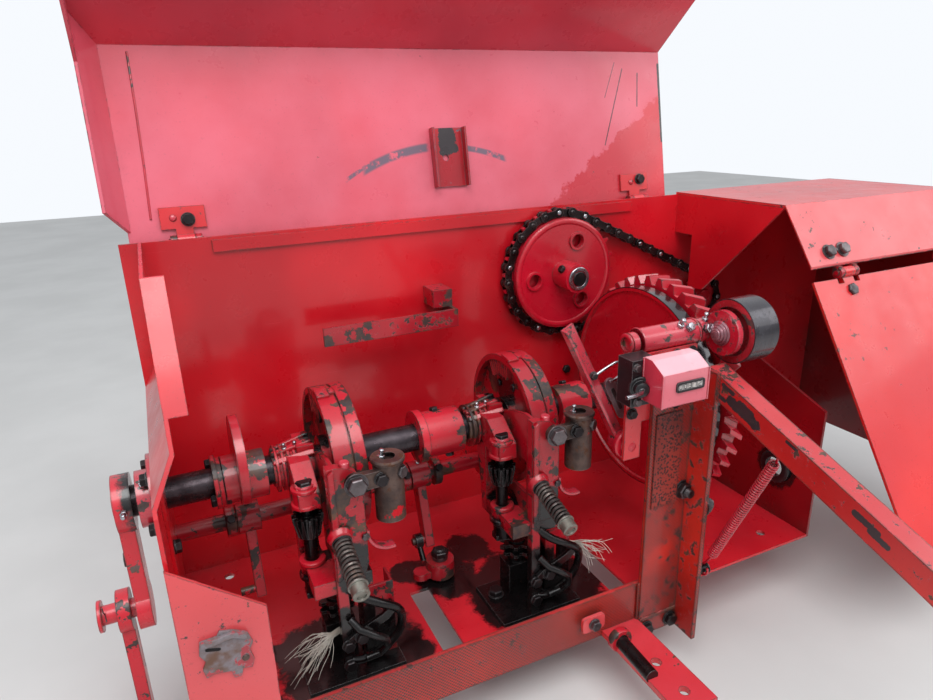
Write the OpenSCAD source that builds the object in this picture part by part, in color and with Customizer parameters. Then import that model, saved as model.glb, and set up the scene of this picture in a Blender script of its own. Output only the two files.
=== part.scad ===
// Twine knotter unit of a square baler, with its housing, hood and drive.
// Millimetres, Z up, X along the knotter shaft, Y to the rear.
// The origin is the centre of the bolt holes under the floor plate.

/* [Housing] */
// Thickness of the sheet steel
sheet = 4; // [3:0.5:5]
// Width of the knotter bay between its two walls
bay_w = 877; // [870:1:900]
// Width of the covered drive bay to the right
side_w = 380; // [300:1:420]
// Distance from the shaft back to the back wall
back_y = 190; // [188:1:200]
// Distance from the shaft forward to the front beam
front_y = 150; // [146:1:156]
// Height of the shaft above the floor plate
shaft_h = 236; // [232:1:244]
// Height of the housing top above the shaft
top_h = 256; // [252:1:262]
// Width of a needle slot in the floor
slot_w = 28; // [22:1:32]
// Length of a needle slot in the floor
slot_l = 122; // [100:1:130]
// Distance between base bolt holes across the bay
base_pitch_x = 760; // [700:1:780]
// Distance between base bolt holes front to back
base_pitch_y = 270; // [250:1:280]
// Diameter of a base bolt hole
base_hole_d = 13; // [9:1:17]

/* [Hood] */
// Length of the main hood panel from hinge to bend
hood_l = 242; // [238:1:246]
// Length of the front hood panel after the bend
hood_lip = 112; // [90:1:116]
// Bend between the two hood panels in degrees
hood_bend = 60; // [55:1:62]
// Lean of the open hood behind the vertical in degrees
hood_lean = 10; // [5:1:15]
// Gap between the closed hood and the walls
hood_gap = 5.5; // [5.5:0.5:7]
// Diameter of the hinge pins of hood and door
pin_d = 8; // [6:1:9]

/* [Knotter shaft] */
// Diameter of the knotter shaft
shaft_d = 35; // [30:1:38]
// Left edge of the first knotter disc from the left wall
knot_x1 = 180; // [176:1:186]
// Distance between the two knotters
knot_pitch = 250; // [246:1:256]
// Radius of the knotter discs
disc_r = 88; // [84:1:90]
// Width of the rim of a knotter disc
rim_w = 26; // [20:1:28]
// Length of the crank between its two centres
crank_l = 134; // [120:1:140]
// Diameter of the crank pin
crank_pin_d = 22; // [18:1:26]
// Length of the drive link between its two eyes
link_l = 190; // [150:1:220]
// Bore of the link's lower eye
link_eye_d = 20; // [16:1:22]
// Radius of the brake drum
drum_r = 150; // [146:1:152]
// Tip radius of the driven gear ring
ring_r = 164; // [162:1:165]
// Number of teeth of the driven gear ring
ring_teeth = 40; // [36:1:48]

/* [Chain drive] */
// Pitch of the roller chain
chain_p = 25.4; // [24:0.1:26]
// Number of teeth of the big sprocket
big_n = 24; // [23:1:25]
// Number of teeth of the small sprocket
small_n = 9; // [9:1:10]
// Distance from the big sprocket to the right wall
spr_in = 248; // [244:1:252]
// Height of the big sprocket above the shaft
spr_z = 144; // [140:1:144]

/* [Bale counter and trip] */
// Width of the counter's front box
counter_w = 65; // [56:1:72]
// Diameter of the trip roller
roller_d = 80; // [70:1:82]
// Width of the trip roller
roller_w = 38; // [30:1:40]
// Outer diameter of the trip arm's pivot tube
tube_d = 32; // [28:1:36]

/* [Hidden] */
// Running fit, gap between curved faces and gap between bodies
fit = 0.05;
curve_gap = 0.3;
body_gap = 5.5;
$fn = 48;

knot_x = [knot_x1, knot_x1 + knot_pitch];
floor_z = -shaft_h;
wall_top = top_h - 6;
total_w = bay_w + side_w;
slope = hood_bend;

// Sprockets, their distance found from a whole number of links
big_r = big_n * chain_p / (2 * PI);
small_r = small_n * chain_p / (2 * PI);
chain_links = 42;
function chain_centres(k, c) = k == 12 ? c :
  let (a = asin((big_r - small_r) / c))
  chain_centres(k + 1, (chain_links * chain_p - big_r * (PI + 2 * a * PI / 180)
    - small_r * (PI - 2 * a * PI / 180)) / (2 * cos(a)));
centres = chain_centres(0, 300);
wrap_a = asin((big_r - small_r) / centres);
chain_tilt = -15;
spr_x = bay_w - spr_in;
small_x = spr_x + centres * cos(chain_tilt);
small_z = spr_z + centres * sin(chain_tilt);
shoulder_d = 30;
drive_d = 25;
drive_l = 26;

// Places along the shaft that follow the right wall
bear_x = bay_w - 107;
shaft_end = bear_x + 50;
drum_x = bay_w - 222;
post_x1 = bay_w - 262;
post_x0 = post_x1 - 67;

// Frame of the part: base bolt centre under the floor plate
org = [-bay_w / 2, -(back_y - front_y) / 2, shaft_h + sheet];

module placed() translate(org) children();
module rod_x(d, x0, x1) translate([x0, 0, 0]) rotate([0, 90, 0]) cylinder(d = d, h = x1 - x0);
module rod_y(d, y0, y1) translate([0, y0, 0]) rotate([-90, 0, 0]) cylinder(d = d, h = y1 - y0);
module rod_z(d, z0, z1) translate([0, 0, z0]) cylinder(d = d, h = z1 - z0);
// Sheet whose outline is given as Y, Z points, standing between x0 and x1
module side_sheet(x0, x1, pts) translate([x0, 0, 0]) rotate([90, 0, 90])
  linear_extrude(x1 - x0) polygon(pts);
// Sheet whose outline is given as X, Z points, standing between y0 and y1
module front_sheet(y0, y1, pts) translate([0, y1, 0]) rotate([90, 0, 0]) linear_extrude(y1 - y0)
  polygon(pts);
// Revolved about the X axis from points of axial place and radius
module turned_x(pts) rotate([90, 0, 90]) rotate([0, 0, 90]) rotate_extrude()
  polygon([for (p = pts) [p[1], p[0]]]);
// Straight round bar between two points that share their X
module strut(a, b, d) translate(a) rotate([atan2(-(b - a)[1], (b - a)[2]), 0, 0])
  cylinder(d = d, h = norm(b - a));
module box(a, b) translate(a) cube([b[0] - a[0], b[1] - a[1], b[2] - a[2]]);

// Housing. The wall's top front corner stays clear of the closed hood's inner bend
hinge_back = 8;
hinge_y = back_y + sheet + hinge_back;
hinge_z = wall_top - 4;
top_front = hood_l - hinge_y - hood_gap * tan(slope / 2);
front_z = wall_top - (front_y - top_front) * tan(slope);
slot_off = 100;
function slot_x(k) = knot_x[k] + slot_off;

module floor_plate() placed() color("firebrick") difference() {
  box([0, -front_y, floor_z - sheet], [bay_w, back_y, floor_z]);
  for (k = [0, 1])
    box([slot_x(k), -slot_l, floor_z - 2 * sheet], [slot_x(k) + slot_w, 0, floor_z + 1]);
  translate([bell_x, bell_y, 0]) rod_z(bell_pin_d, floor_z - 2 * sheet, floor_z + 1);
  for (sx = [-1, 1], sy = [-1, 1])
    translate([bay_w / 2 + sx * base_pitch_x / 2, (back_y - front_y) / 2 + sy * base_pitch_y / 2, 0])
      rod_z(base_hole_d, floor_z - 2 * sheet, floor_z + 1);
}

// Back wall with a stiffening band under its top edge
band_x0 = 105;
band_x1 = bay_w - 101;
band_h = 16;
module back_wall() placed() color("firebrick") {
  difference() {
    box([-sheet, back_y, floor_z - sheet], [total_w, back_y + sheet, wall_top]);
    for (p = [[spr_x, spr_z], [small_x, small_z]])
      translate([p[0], 0, p[1]]) rod_y(shoulder_d + 2 * curve_gap, back_y - 1, back_y + sheet + 1);
  }
  box([band_x0, back_y - sheet, wall_top - sheet - band_h], [band_x1, back_y, wall_top - sheet]);
}

// Left wall steps inwards above the doubler and follows the closed hood down to the corner plate
wall_in = 22;
jog_low = 60;
jog_top = 100;
corner_top = 4.6;
bearing_hole_d = 64;
wall_flange_w = 18;
wall_flange_z = 130;
wall_profile = [[-front_y, floor_z - sheet], [back_y, floor_z - sheet], [back_y, wall_top],
  [-top_front, wall_top], [-front_y, front_z]];
wall_section = [[-sheet, floor_z - 2 * sheet], [0, floor_z - 2 * sheet], [0, jog_low],
  [wall_in, jog_top], [wall_in, wall_top + 1], [wall_in - sheet, wall_top + 1],
  [wall_in - sheet, jog_top + 2], [-sheet, jog_low + 2]];
flange_back = sheet / sin(slope);
flange_run = (wall_top - wall_flange_z) / tan(slope);

module left_wall() placed() color("firebrick") {
  difference() {
    intersection() {
      side_sheet(-2 * sheet, wall_in + sheet, wall_profile);
      front_sheet(-front_y - 1, back_y + 1, wall_section);
    }
    rod_x(bearing_hole_d, -2 * sheet, sheet);
    translate([0, cross_y, cross_z]) rod_x(cross_d + 2 * fit, -2 * sheet, sheet);
  }
  side_sheet(wall_in - 1, wall_in + wall_flange_w, [[-top_front, wall_top],
    [-top_front - flange_run, wall_flange_z], [-top_front - flange_run + flange_back, wall_flange_z],
    [-top_front + flange_back, wall_top]]);
}

module left_doubler() placed() color("firebrick") difference() {
  side_sheet(0, sheet, [[-70, -150], [110, -150], [110, 20], [70, jog_low - 2], [-50, jog_low - 2],
    [-70, jog_low - 20]]);
  rod_x(bearing_hole_d, -1, sheet + 1);
  translate([0, cross_y, cross_z]) rod_x(cross_d + 2 * fit, -1, sheet + 1);
}

// Right wall is low, with the gusset above it left open to the drive bay
guide_y = -80;
guide_z = -150;
guide_d = 45;
chain_y0 = back_y - 20;
chain_y1 = back_y - 4;
notch_y = chain_y0 - 22;
notch_top = wall_top - 65;
module right_wall() placed() color("darkred") difference() {
  side_sheet(bay_w, bay_w + sheet, [[-front_y, floor_z - sheet], [back_y, floor_z - sheet],
    [back_y, 0], [notch_y, 0], [notch_y, 75], [-front_y, -30]]);
  translate([0, guide_y, guide_z]) rod_x(guide_d, bay_w - 1, bay_w + sheet + 1);
}

// Gusset between the two bays, its rear edge cut back for the chain
cover_front = 36;
cover_a = 55;
module gusset() placed() color("firebrick") side_sheet(bay_w, bay_w + sheet,
  [[back_y, wall_top], [-cover_front, wall_top], [115, 96], [notch_y, 93], [notch_y, notch_top],
   [back_y, notch_top]]);

// Cover of the drive bay: flat top and a slanted front
cover_drop_y = 93;
cover_drop_z = wall_top - (cover_drop_y - cover_front) * tan(cover_a);
module bay_cover() placed() color("firebrick") side_sheet(bay_w, total_w,
  [[back_y + sheet, wall_top], [back_y + sheet, wall_top + sheet], [-cover_front, wall_top + sheet],
   [-cover_drop_y, cover_drop_z + sheet], [-cover_drop_y, cover_drop_z], [-cover_front, wall_top]]);

// Door hangs from the cover's lower edge and opens upwards
door_hy = -cover_drop_y - 3;
door_hz = cover_drop_z - 10;
door_a = 58;
door_l = 400;
door_end = [door_hy - door_l * cos(door_a), door_hz - door_l * sin(door_a)];
module end_wall() placed() color("darkred") side_sheet(total_w, total_w + sheet,
  [[-cover_drop_y, cover_drop_z], [-cover_front, wall_top + sheet], [back_y + sheet, wall_top + sheet],
   [back_y + sheet, floor_z - sheet], [door_end[0] + 60, floor_z - sheet],
   [door_end[0] + 30, door_end[1] + 20]]);

door_eye_x = [bay_w + 60, total_w - 90];
module bay_door() placed() color("red") translate([0, door_hy, door_hz]) rotate([door_a - 180, 0, 0]) {
  difference() {
    union() {
      box([bay_w, 8, 0], [total_w - body_gap, door_l, sheet]);
      for (x = door_eye_x) translate([x, 0, 0]) {
        rod_x(2 * pin_d, 0, eye_w);
        box([0, 0, 0], [eye_w, 30, pin_d]);
      }
    }
    for (x = door_eye_x) translate([x, 0, 0]) {
      rod_x(pin_d + 2 * fit, -1, eye_w + 1);
      for (c = [-cheek_w - 2 * curve_gap - 3, eye_w])
        box([c, 0, -1], [c + cheek_w + 2 * curve_gap + 3, 16, pin_d + 1]);
    }
  }
}
module door_pins() placed() color("firebrick") for (x = door_eye_x) translate([x, door_hy, door_hz]) {
  rod_x(pin_d, -cheek_w - 2, eye_w + cheek_w + 2);
  for (c = [-cheek_w - curve_gap, eye_w + curve_gap]) translate([c, 0, 0]) {
    rod_x(2 * pin_d, 0, cheek_w);
    box([0, -2, 0], [cheek_w, 8, 10]);
  }
}

// Front beam, corner plate, post and rail
beam_top = -205;
beam_h = 64;
beam_t = 6;
beam_foot = 30;
corner_w = 80;
corner_low = -63;
beam_z0 = beam_top - beam_h;
face_y = -front_y - beam_t;
module front_beam() placed() color("orangered") side_sheet(0, post_x1 + 40,
  [[face_y, beam_z0], [face_y + beam_foot, beam_z0], [face_y + beam_foot, beam_z0 + beam_t],
   [-front_y, beam_z0 + beam_t], [-front_y, beam_top], [face_y, beam_top]]);

module corner_plate() placed() color("red") front_sheet(face_y - sheet, face_y,
  [[-sheet, beam_z0], [corner_w, beam_z0], [corner_w, corner_low], [-sheet, corner_top]]);

// Post: a flat face and a deep flange that rises behind the counter to the stay bar
post_top = 62;
post_t = 6;
post_foot = beam_z0 - 20;
flange_y = 42;
flange_top = 96;
module post() placed() color("orangered") {
  box([post_x0, face_y - post_t, post_foot], [post_x1, face_y, post_top]);
  side_sheet(post_x1 - post_t, post_x1, [[face_y - flange_y, post_foot], [face_y - post_t, post_foot],
    [face_y - post_t, post_top], [face_y - 22, flange_top], [face_y - flange_y, flange_top]]);
}
grip_w = 40;
grip_z0 = -90;
grip_z1 = 40;
module grip_strip() placed() color("saddlebrown")
  box([post_x0 + 6, face_y - post_t - 2, grip_z0], [post_x0 + 6 + grip_w, face_y - post_t, grip_z1]);

rail_l = 150;
rail_w = 56;
rail_t = 8;
rail_pitch = 50;
module lower_rail() placed() color("red") difference() {
  box([post_x0 - rail_w, face_y - rail_l, beam_z0], [post_x0, face_y, beam_z0 + rail_t]);
  for (s = [0, 1]) translate([post_x0 - rail_w / 2, face_y - rail_l + rail_pitch * (s + 0.5), 0])
    rod_z(base_hole_d, beam_z0 - 1, beam_z0 + rail_t + 1);
}

// Flat bar on a stub from the back wall
brk_x0 = 225;
brk_x1 = 425;
brk_y = 130;
brk_z = 96;
brk_h = 26;
brk_t = 5;
module wall_bracket() placed() color("firebrick") {
  box([brk_x0, brk_y, brk_z], [brk_x1, brk_y + brk_t, brk_z + brk_h]);
  box([brk_x1 - brk_t, brk_y + brk_t, brk_z], [brk_x1, back_y, brk_z + brk_h]);
  box([brk_x1 - 30, back_y - 40, brk_z + brk_h], [brk_x1, back_y, brk_z + 2 * brk_h]);
}

// Hood, drawn open about its own hinge line: Y runs up the panel, Z to its inner side.
// Its left flange splays outwards
hood_off = hood_gap + 4;
hood_x0 = wall_in - 2 * sheet - body_gap;
hood_x1 = bay_w - body_gap - sheet;
hood_flange = 40;
hood_splay = 22;
hood_u = 2;
hinge_x = [65, bay_w - 89];
eye_w = 22;
cheek_w = 8;
leaf_w = 56;
leaf_t = 4;
lip_u = hood_lip * cos(hood_bend);
lip_n = hood_lip * sin(hood_bend);
flange_n = hood_flange - hood_off;
module hood_pose() translate([0, hinge_y, hinge_z]) rotate([90 - hood_lean, 0, 0]) children();
// Outline of the left flange, seen from the side
hood_side_pts = [[hood_u, -hood_off - sheet], [hood_l, -hood_off - sheet],
  [hood_l + lip_u, lip_n - hood_off - sheet], [hood_l + lip_u - 30, lip_n - hood_off],
  [hood_l - 30, flange_n], [hood_flange, flange_n], [hood_u + 14, -hood_off]];
// Section across the left flange: it splays out and then stands square to the panel
hood_splay_pts = [[hood_x0, -hood_off - 2 * sheet], [hood_x0 + sheet, -hood_off - 2 * sheet],
  [hood_x0 + sheet, -hood_off], [hood_x0 + sheet - hood_splay, flange_n],
  [hood_x0 + sheet - hood_splay, lip_n], [hood_x0 - hood_splay, lip_n],
  [hood_x0 - hood_splay, flange_n], [hood_x0, -hood_off]];
module hood() placed() color("red") hood_pose() {
  side_sheet(hood_x0, hood_x1, [[hood_u, -hood_off], [hood_u, -hood_off - sheet],
    [hood_l, -hood_off - sheet], [hood_l + lip_u, lip_n - hood_off - sheet],
    [hood_l + lip_u, lip_n - hood_off], [hood_l, -hood_off]]);
  side_sheet(hood_x0 - hood_splay, hood_x0 + 1, [[hood_l, -hood_off - sheet],
    [hood_l + lip_u, lip_n - hood_off - sheet], [hood_l + lip_u, lip_n - hood_off],
    [hood_l, -hood_off]]);
  intersection() {
    side_sheet(hood_x0 - hood_splay - 1, hood_x0 + sheet + 1, hood_side_pts);
    front_sheet(0, hood_l + hood_lip, hood_splay_pts);
  }
}
// Channel on the panel's middle, with a hole in its web
chan_x0 = bay_w / 2 - 6;
chan_w = 54;
chan_u0 = 44;
chan_u1 = 130;
chan_t = 3;
chan_h = 15;
module hood_channel() placed() color("red") hood_pose() translate([chan_x0, 0, -hood_off]) {
  difference() {
    box([0, chan_u0, 0], [chan_w, chan_u1, chan_t]);
    translate([chan_w / 2 - 5, (chan_u0 + chan_u1) / 2, 0]) rod_z(9, -1, chan_t + 1);
  }
  for (c = [0, chan_w - chan_t]) box([c, chan_u0, chan_t], [c + chan_t, chan_u1, chan_h]);
}
// Moving eyes with their leaves, and fixed cheeks with the pin
module hinge_eye(leaf_l, off) difference() {
  union() {
    rod_x(2 * pin_d, 0, eye_w);
    box([0, 0, -off], [eye_w, 2 * pin_d, -off + leaf_t]);
    box([0, -pin_d, -off], [eye_w, pin_d, 0]);
    box([(eye_w - leaf_w) / 2, 2 * pin_d, -off], [(eye_w + leaf_w) / 2, leaf_l, -off + leaf_t]);
  }
  rod_x(pin_d + 2 * fit, -1, eye_w + 1);
}
module hinge_eyes() placed() color("red") for (x = hinge_x)
  hood_pose() translate([x, 0, 0]) hinge_eye(44, hood_off);
module hinge_pins() placed() color("firebrick") for (x = hinge_x) translate([x, hinge_y, hinge_z]) {
  rod_x(pin_d, -cheek_w - 2, eye_w + cheek_w + 2);
  for (c = [-cheek_w - curve_gap, eye_w + curve_gap]) translate([c, 0, 0]) {
    rod_x(2 * pin_d, 0, cheek_w);
    box([0, -hinge_back, -50], [cheek_w, pin_d, 0]);
  }
}

// Bearings of the shaft
boss_out = 24;
flange_d = 96;
flange_t = 6;
module bearing_left() placed() color("palevioletred") difference() {
  union() {
    rod_x(bearing_hole_d - 2 * curve_gap, -boss_out, sheet);
    rod_x(flange_d, -sheet - flange_t, -sheet);
  }
  rod_x(shaft_d + 2 * fit, -boss_out - 1, sheet + 1);
}
bear_l = 30;
bear_d = 80;
module bearing_right() placed() color("firebrick") difference() {
  union() {
    rod_x(bear_d, bear_x, bear_x + bear_l);
    side_sheet(bear_x, bear_x + 10, [[0, -36], [back_y, -36], [back_y, 10], [120, 10], [60, 36], [0, 36]]);
  }
  rod_x(shaft_d + 2 * fit, bear_x - 1, bear_x + bear_l + 1);
}

// Knotter shaft and what turns with it
arm_t = 16;
crank_hub_d = 64;
crank_eye_d = 52;
crank_x = -boss_out - body_gap - 2;
module knotter_shaft() placed() color("dimgray") rod_x(shaft_d, crank_x - 4, shaft_end);

// Start, end and radius of each collar on the shaft
collar_rows = [[54, 59, 31], [59, 64, 28], [300, 310, 34], [310, 360, 30], [508, 556, 28]];
module collars() placed() color("firebrick") for (c = collar_rows) difference() {
  rod_x(2 * c[2], c[0], c[1]);
  rod_x(shaft_d, c[0] - 1, c[1] + 1);
}
cam_x = 80;
cam_d = 104;
cam_off = 22;
cam_hub_d = 56;
module finger_cam() placed() color("firebrick") difference() {
  union() {
    translate([0, 0, cam_off]) rod_x(cam_d, cam_x, cam_x + 10);
    rod_x(cam_hub_d, cam_x - 15, cam_x + 32);
  }
  rod_x(shaft_d, cam_x - 16, cam_x + 33);
}

// Knotter disc, from x, the left edge of its inner web: hub, web, lip ring at the left, grooved
// rim at the right, and a segment of radial teeth on its left face
rim_t = 14;
hub_r = 28;
lip_t = 8;
lip_x = -3;
web_x0 = 8;
web_x1 = 14;
rim_end = web_x0 + rim_w;
groove_x = 18;
groove_w = 2;
seg_n = 9;
seg_a = 62;
seg_step = 4.6;
seg_r = 58;
module knotter_disc(x) translate([x, 0, 0]) {
  difference() {
    turned_x([[lip_x, shaft_d / 2], [lip_x, hub_r], [web_x0, hub_r], [web_x0, disc_r - lip_t],
      [lip_x, disc_r - lip_t], [lip_x, disc_r], [groove_x, disc_r], [groove_x, disc_r - 3],
      [groove_x + groove_w, disc_r - 3], [groove_x + groove_w, disc_r], [rim_end, disc_r],
      [rim_end, disc_r - rim_t], [web_x1, disc_r - rim_t], [web_x1, hub_r], [rim_end, hub_r],
      [rim_end, shaft_d / 2]]);
    rod_x(shaft_d, lip_x - 1, rim_end + 1);
  }
  for (i = [0:seg_n - 1]) rotate([seg_a + seg_step * i, 0, 0]) side_sheet(lip_x + 2, web_x0 + 1,
    [[seg_r, -1.5], [disc_r - lip_t + 1, -2.2], [disc_r - lip_t + 1, 2.2], [seg_r, 1.5]]);
}
module knotter_disc_1() placed() color("crimson") knotter_disc(knot_x[0]);
module knotter_disc_2() placed() color("crimson") knotter_disc(knot_x[1]);

// Knotter frame, a casting: finned sleeve on the shaft, arm and spine with the two bosses of the
// billhook, web beside the disc, front plate with the spring's lug, bottom bar and leg
bill_x = -35;
bill_y = -60;
bill_d = 16;
boss_d = 28;
sleeve_x0 = -60;
sleeve_x1 = -12;
fin_pitch = 7;
plate_y0 = -110;
plate_y1 = -98;
bar_z1 = -disc_r - 10;
bar_z0 = bar_z1 - 18;
foot_z = floor_z + sheet;
web_y = -34;
lug_x = -11;
lug_z = -40;
lug_a = 108;
lug_l = 14;
spine_x0 = bill_x - 10;
spine_x1 = bill_x + 14;
side_x0 = lip_x - body_gap - 5;
side_x1 = lip_x - body_gap;
module knotter_frame(x) translate([x, 0, 0]) difference() {
  union() {
    turned_x([[sleeve_x0, shaft_d / 2], [sleeve_x0, 21], [sleeve_x1 - 22, 26], [sleeve_x1, 26],
      [sleeve_x1, shaft_d / 2]]);
    for (i = [0:3]) rod_x(2 * hub_r, sleeve_x0 + 3 + fin_pitch * i, sleeve_x0 + 6 + fin_pitch * i);
    box([sleeve_x1 - 20, -20, 0], [sleeve_x1, 20, 31]);
    side_sheet(spine_x0, spine_x1, [[-74, -22], [-74, -2], [-40, 22], [-14, 22], [-14, -10], [-46, -22]]);
    translate([bill_x, bill_y, 0]) rod_z(boss_d, -22, 2);
    side_sheet(spine_x0, spine_x1, [[web_y, bar_z1 + 2], [web_y + 14, bar_z1 + 2], [-8, -16], [web_y, -16]]);
    box([spine_x0, bill_y, bar_z0], [spine_x1, web_y + 14, bar_z1 + 3]);
    translate([bill_x, bill_y, 0]) rod_z(boss_d, bar_z0, bar_z1 + 6);
    difference() {
      side_sheet(side_x0, side_x1, [[plate_y1 - 1, bar_z1 - 1], [plate_y1 - 1, 40], [-80, 40], [-48, 32],
        [-18, 20], [-18, -20], [web_y, -30], [web_y, bar_z1 - 1]]);
      side_sheet(side_x0 - 1, side_x1 + 1, [[-86, -70], [-86, -24], [-38, -24], [-38, -70]]);
    }
    box([spine_x0, plate_y0 + 2, bar_z0], [22, -45, bar_z1]);
    front_sheet(plate_y0, plate_y1, [[-19, bar_z1 - 1], [14, bar_z1 - 1], [19, -84], [19, 16], [14, 30],
      [4, 38], [-8, 41], [-19, 41]]);
    box([-20, plate_y0 - 2, foot_z], [-8, plate_y1 - 3, -60]);
    translate([lug_x, plate_y1 - 6, lug_z]) rotate([lug_a, 0, 0]) rod_z(22, 0, lug_l);
  }
  rod_x(shaft_d + 2 * curve_gap, sleeve_x0 - 1, 0);
  translate([bill_x, bill_y, 0]) rod_z(bill_d + 2 * fit, bar_z0 - 1, 3);
}
module knotter_frame_1() placed() color("firebrick") knotter_frame(knot_x[0]);
module knotter_frame_2() placed() color("firebrick") knotter_frame(knot_x[1]);

// Twine tensioner: arm bolted to the front plate and an upright sleeve at its end
yoke_x0 = 10;
yoke_x1 = 50;
yoke_z = 21;
module clamp_yoke(x) translate([x, 0, 0]) {
  box([yoke_x0, plate_y0 - 8, yoke_z - 9.5], [yoke_x1, plate_y0, yoke_z + 9.5]);
  translate([yoke_x0, 0, yoke_z]) rod_y(22, plate_y0 - 8, plate_y0);
  translate([yoke_x1, plate_y0 + 4, 0]) rod_z(34, -34, 36);
}
module clamp_yoke_1() placed() color("sienna") clamp_yoke(knot_x[0]);
module clamp_yoke_2() placed() color("sienna") clamp_yoke(knot_x[1]);

// Billhook: bevel pinion between the bosses, jaw and tongue below them
pinion_z0 = -60;
pinion_h = 26;
pinion_n = 14;
hook_z = -142;
jaw_pts = [[-12, -7], [4, -11], [20, -9], [29, -3], [29, 3], [20, 1], [8, 4], [-4, 11], [-12, 7]];
tongue_pts = [[-10, -6], [6, -8], [24, -3], [24, 1], [6, 3], [-8, 7]];
module billhook(x) translate([x + bill_x, bill_y, 0]) {
  rod_z(bill_d, hook_z, -4);
  intersection() {
    translate([0, 0, pinion_z0]) linear_extrude(pinion_h) polygon(tooth_pts(pinion_n, 13, 18));
    translate([0, 0, pinion_z0]) cylinder(r1 = 13.5, r2 = 19, h = pinion_h);
  }
  rod_z(24, hook_z + 2, bar_z0 - body_gap);
  translate([0, 0, hook_z]) linear_extrude(7) polygon(jaw_pts);
  translate([0, 0, hook_z + 12]) linear_extrude(5) polygon(tongue_pts);
}
module billhook_1() placed() color("dimgray") billhook(knot_x[0]);
module billhook_2() placed() color("dimgray") billhook(knot_x[1]);

// Twine holder: block with two notched discs below the billhook
hold_x = -12;
hold_y = -56;
hold_top = -154;
module twine_holder(x) translate([x + hold_x, hold_y, 0]) {
  box([-18, -14, foot_z], [18, 14, hold_top - 32]);
  rod_z(24, hold_top - 34, hold_top);
  for (z = [18, 6]) translate([0, 0, hold_top - z]) linear_extrude(4) polygon(tooth_pts(8, 17, 22));
}
module twine_holder_1() placed() color("black") twine_holder(knot_x[0]);
module twine_holder_2() placed() color("black") twine_holder(knot_x[1]);

// Slotted channel that stands beside each twine holder
guide_x = 12;
guide_w = 38;
guide_top = -132;
guide_t = 3;
module guide_channels() placed() color("firebrick") for (k = [0, 1]) translate([knot_x[k] + guide_x, 0, 0])
  difference() {
    box([0, -92, foot_z], [guide_w, -64, guide_top]);
    box([guide_t, -92 + guide_t, foot_z - 1], [guide_w - guide_t, -63, guide_top + 1]);
    box([guide_w / 2 - 5, -93, guide_top - 56], [guide_w / 2 + 5, -88, guide_top - 18]);
  }

// Spring on its bolt, leaning down to the front
coil_n = 10;
coil_p = 5.4;
coil_d = 4.6;
spring_l = 60;
module spring_bolt(x) translate([x + lug_x, plate_y1 - 6, lug_z]) rotate([lug_a, 0, 0])
  translate([0, 0, lug_l]) {
    rod_z(12, 0, spring_l + 4);
    for (i = [0:coil_n - 1]) translate([0, 0, 5 + coil_p * i]) rotate_extrude() translate([8, 0])
      circle(d = coil_d);
    rod_z(19, spring_l, spring_l + 12);
  }
module spring_bolt_1() placed() color("saddlebrown") spring_bolt(knot_x[0]);
module spring_bolt_2() placed() color("saddlebrown") spring_bolt(knot_x[1]);

chute_w = 116;
module chute_plates() placed() color("black") for (k = [0, 1])
  box([knot_x[k] - 64, -118, floor_z], [knot_x[k] - 64 + chute_w, -34, foot_z]);

// Brake drum on the shaft and the gear ring that runs free on it
drum_rim = 8;
drum_w = 16;
module brake_drum() placed() color("firebrick") translate([drum_x, 0, 0]) difference() {
  turned_x([[-30, shaft_d / 2], [-30, 34], [0, 34], [0, drum_r - drum_rim], [-3, drum_r - drum_rim + 2],
    [-3, drum_r], [drum_w, drum_r], [drum_w, drum_r - drum_rim], [6, drum_r - drum_rim], [6, shaft_d / 2]]);
  rod_x(shaft_d, -31, drum_w + 1);
}
ring_x = drum_x + 22;
ring_w = 24;
ring_root = ring_r - 12;
// Outline of a toothed wheel: share of the pitch and whether on the tip
tooth_rows = [[0.0, 0], [0.22, 1], [0.5, 1], [0.72, 0]];
function tooth_pts(n, root, tip) = [for (i = [0:n - 1]) for (q = tooth_rows)
  let (a = 360 * (i + q[0]) / n, r = q[1] == 0 ? root : tip) [r * cos(a), r * sin(a)]];
module gear_ring() placed() color("crimson") translate([ring_x, 0, 0]) difference() {
  union() {
    side_sheet(0, ring_w, tooth_pts(ring_teeth, ring_root, ring_r));
    rod_x(70, ring_w - 1, ring_w + 20);
  }
  rod_x(2 * ring_root - 30, -1, 8);
  rod_x(shaft_d + 2 * fit, -2, ring_w + 21);
}

// Crank on the left end of the shaft, with its pin
pin_end = crank_x - arm_t - 40;
module crank_arm() placed() color("red") difference() {
  union() {
    rod_x(crank_hub_d, crank_x - arm_t, crank_x + 2);
    translate([0, 0, -crank_l]) rod_x(crank_eye_d, crank_x - arm_t, crank_x);
    side_sheet(crank_x - arm_t, crank_x, [[-22, 0], [22, 0], [18, -crank_l], [-18, -crank_l]]);
    translate([0, 0, -crank_l]) rod_x(crank_pin_d, pin_end, crank_x - arm_t);
    translate([0, 0, -crank_l]) rod_x(crank_pin_d + 14, pin_end, pin_end + 4);
  }
  rod_x(shaft_d, crank_x - 4, crank_x + 3);
}
link_t = 14;
link_top_d = 48;
link_foot_d = 40;
link_x = crank_x - arm_t - 6;
module drive_link() placed() color("firebrick") translate([0, 0, -crank_l]) difference() {
  union() {
    rod_x(link_top_d, link_x - link_t, link_x);
    translate([0, 0, -link_l]) rod_x(link_foot_d, link_x - link_t, link_x);
    side_sheet(link_x - link_t, link_x, [[-12, 0], [12, 0], [12, -link_l], [-12, -link_l]]);
  }
  rod_x(crank_pin_d + 2 * fit, link_x - link_t - 1, link_x + 1);
  translate([0, 0, -link_l]) rod_x(link_eye_d, link_x - link_t - 1, link_x + 1);
}

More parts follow.
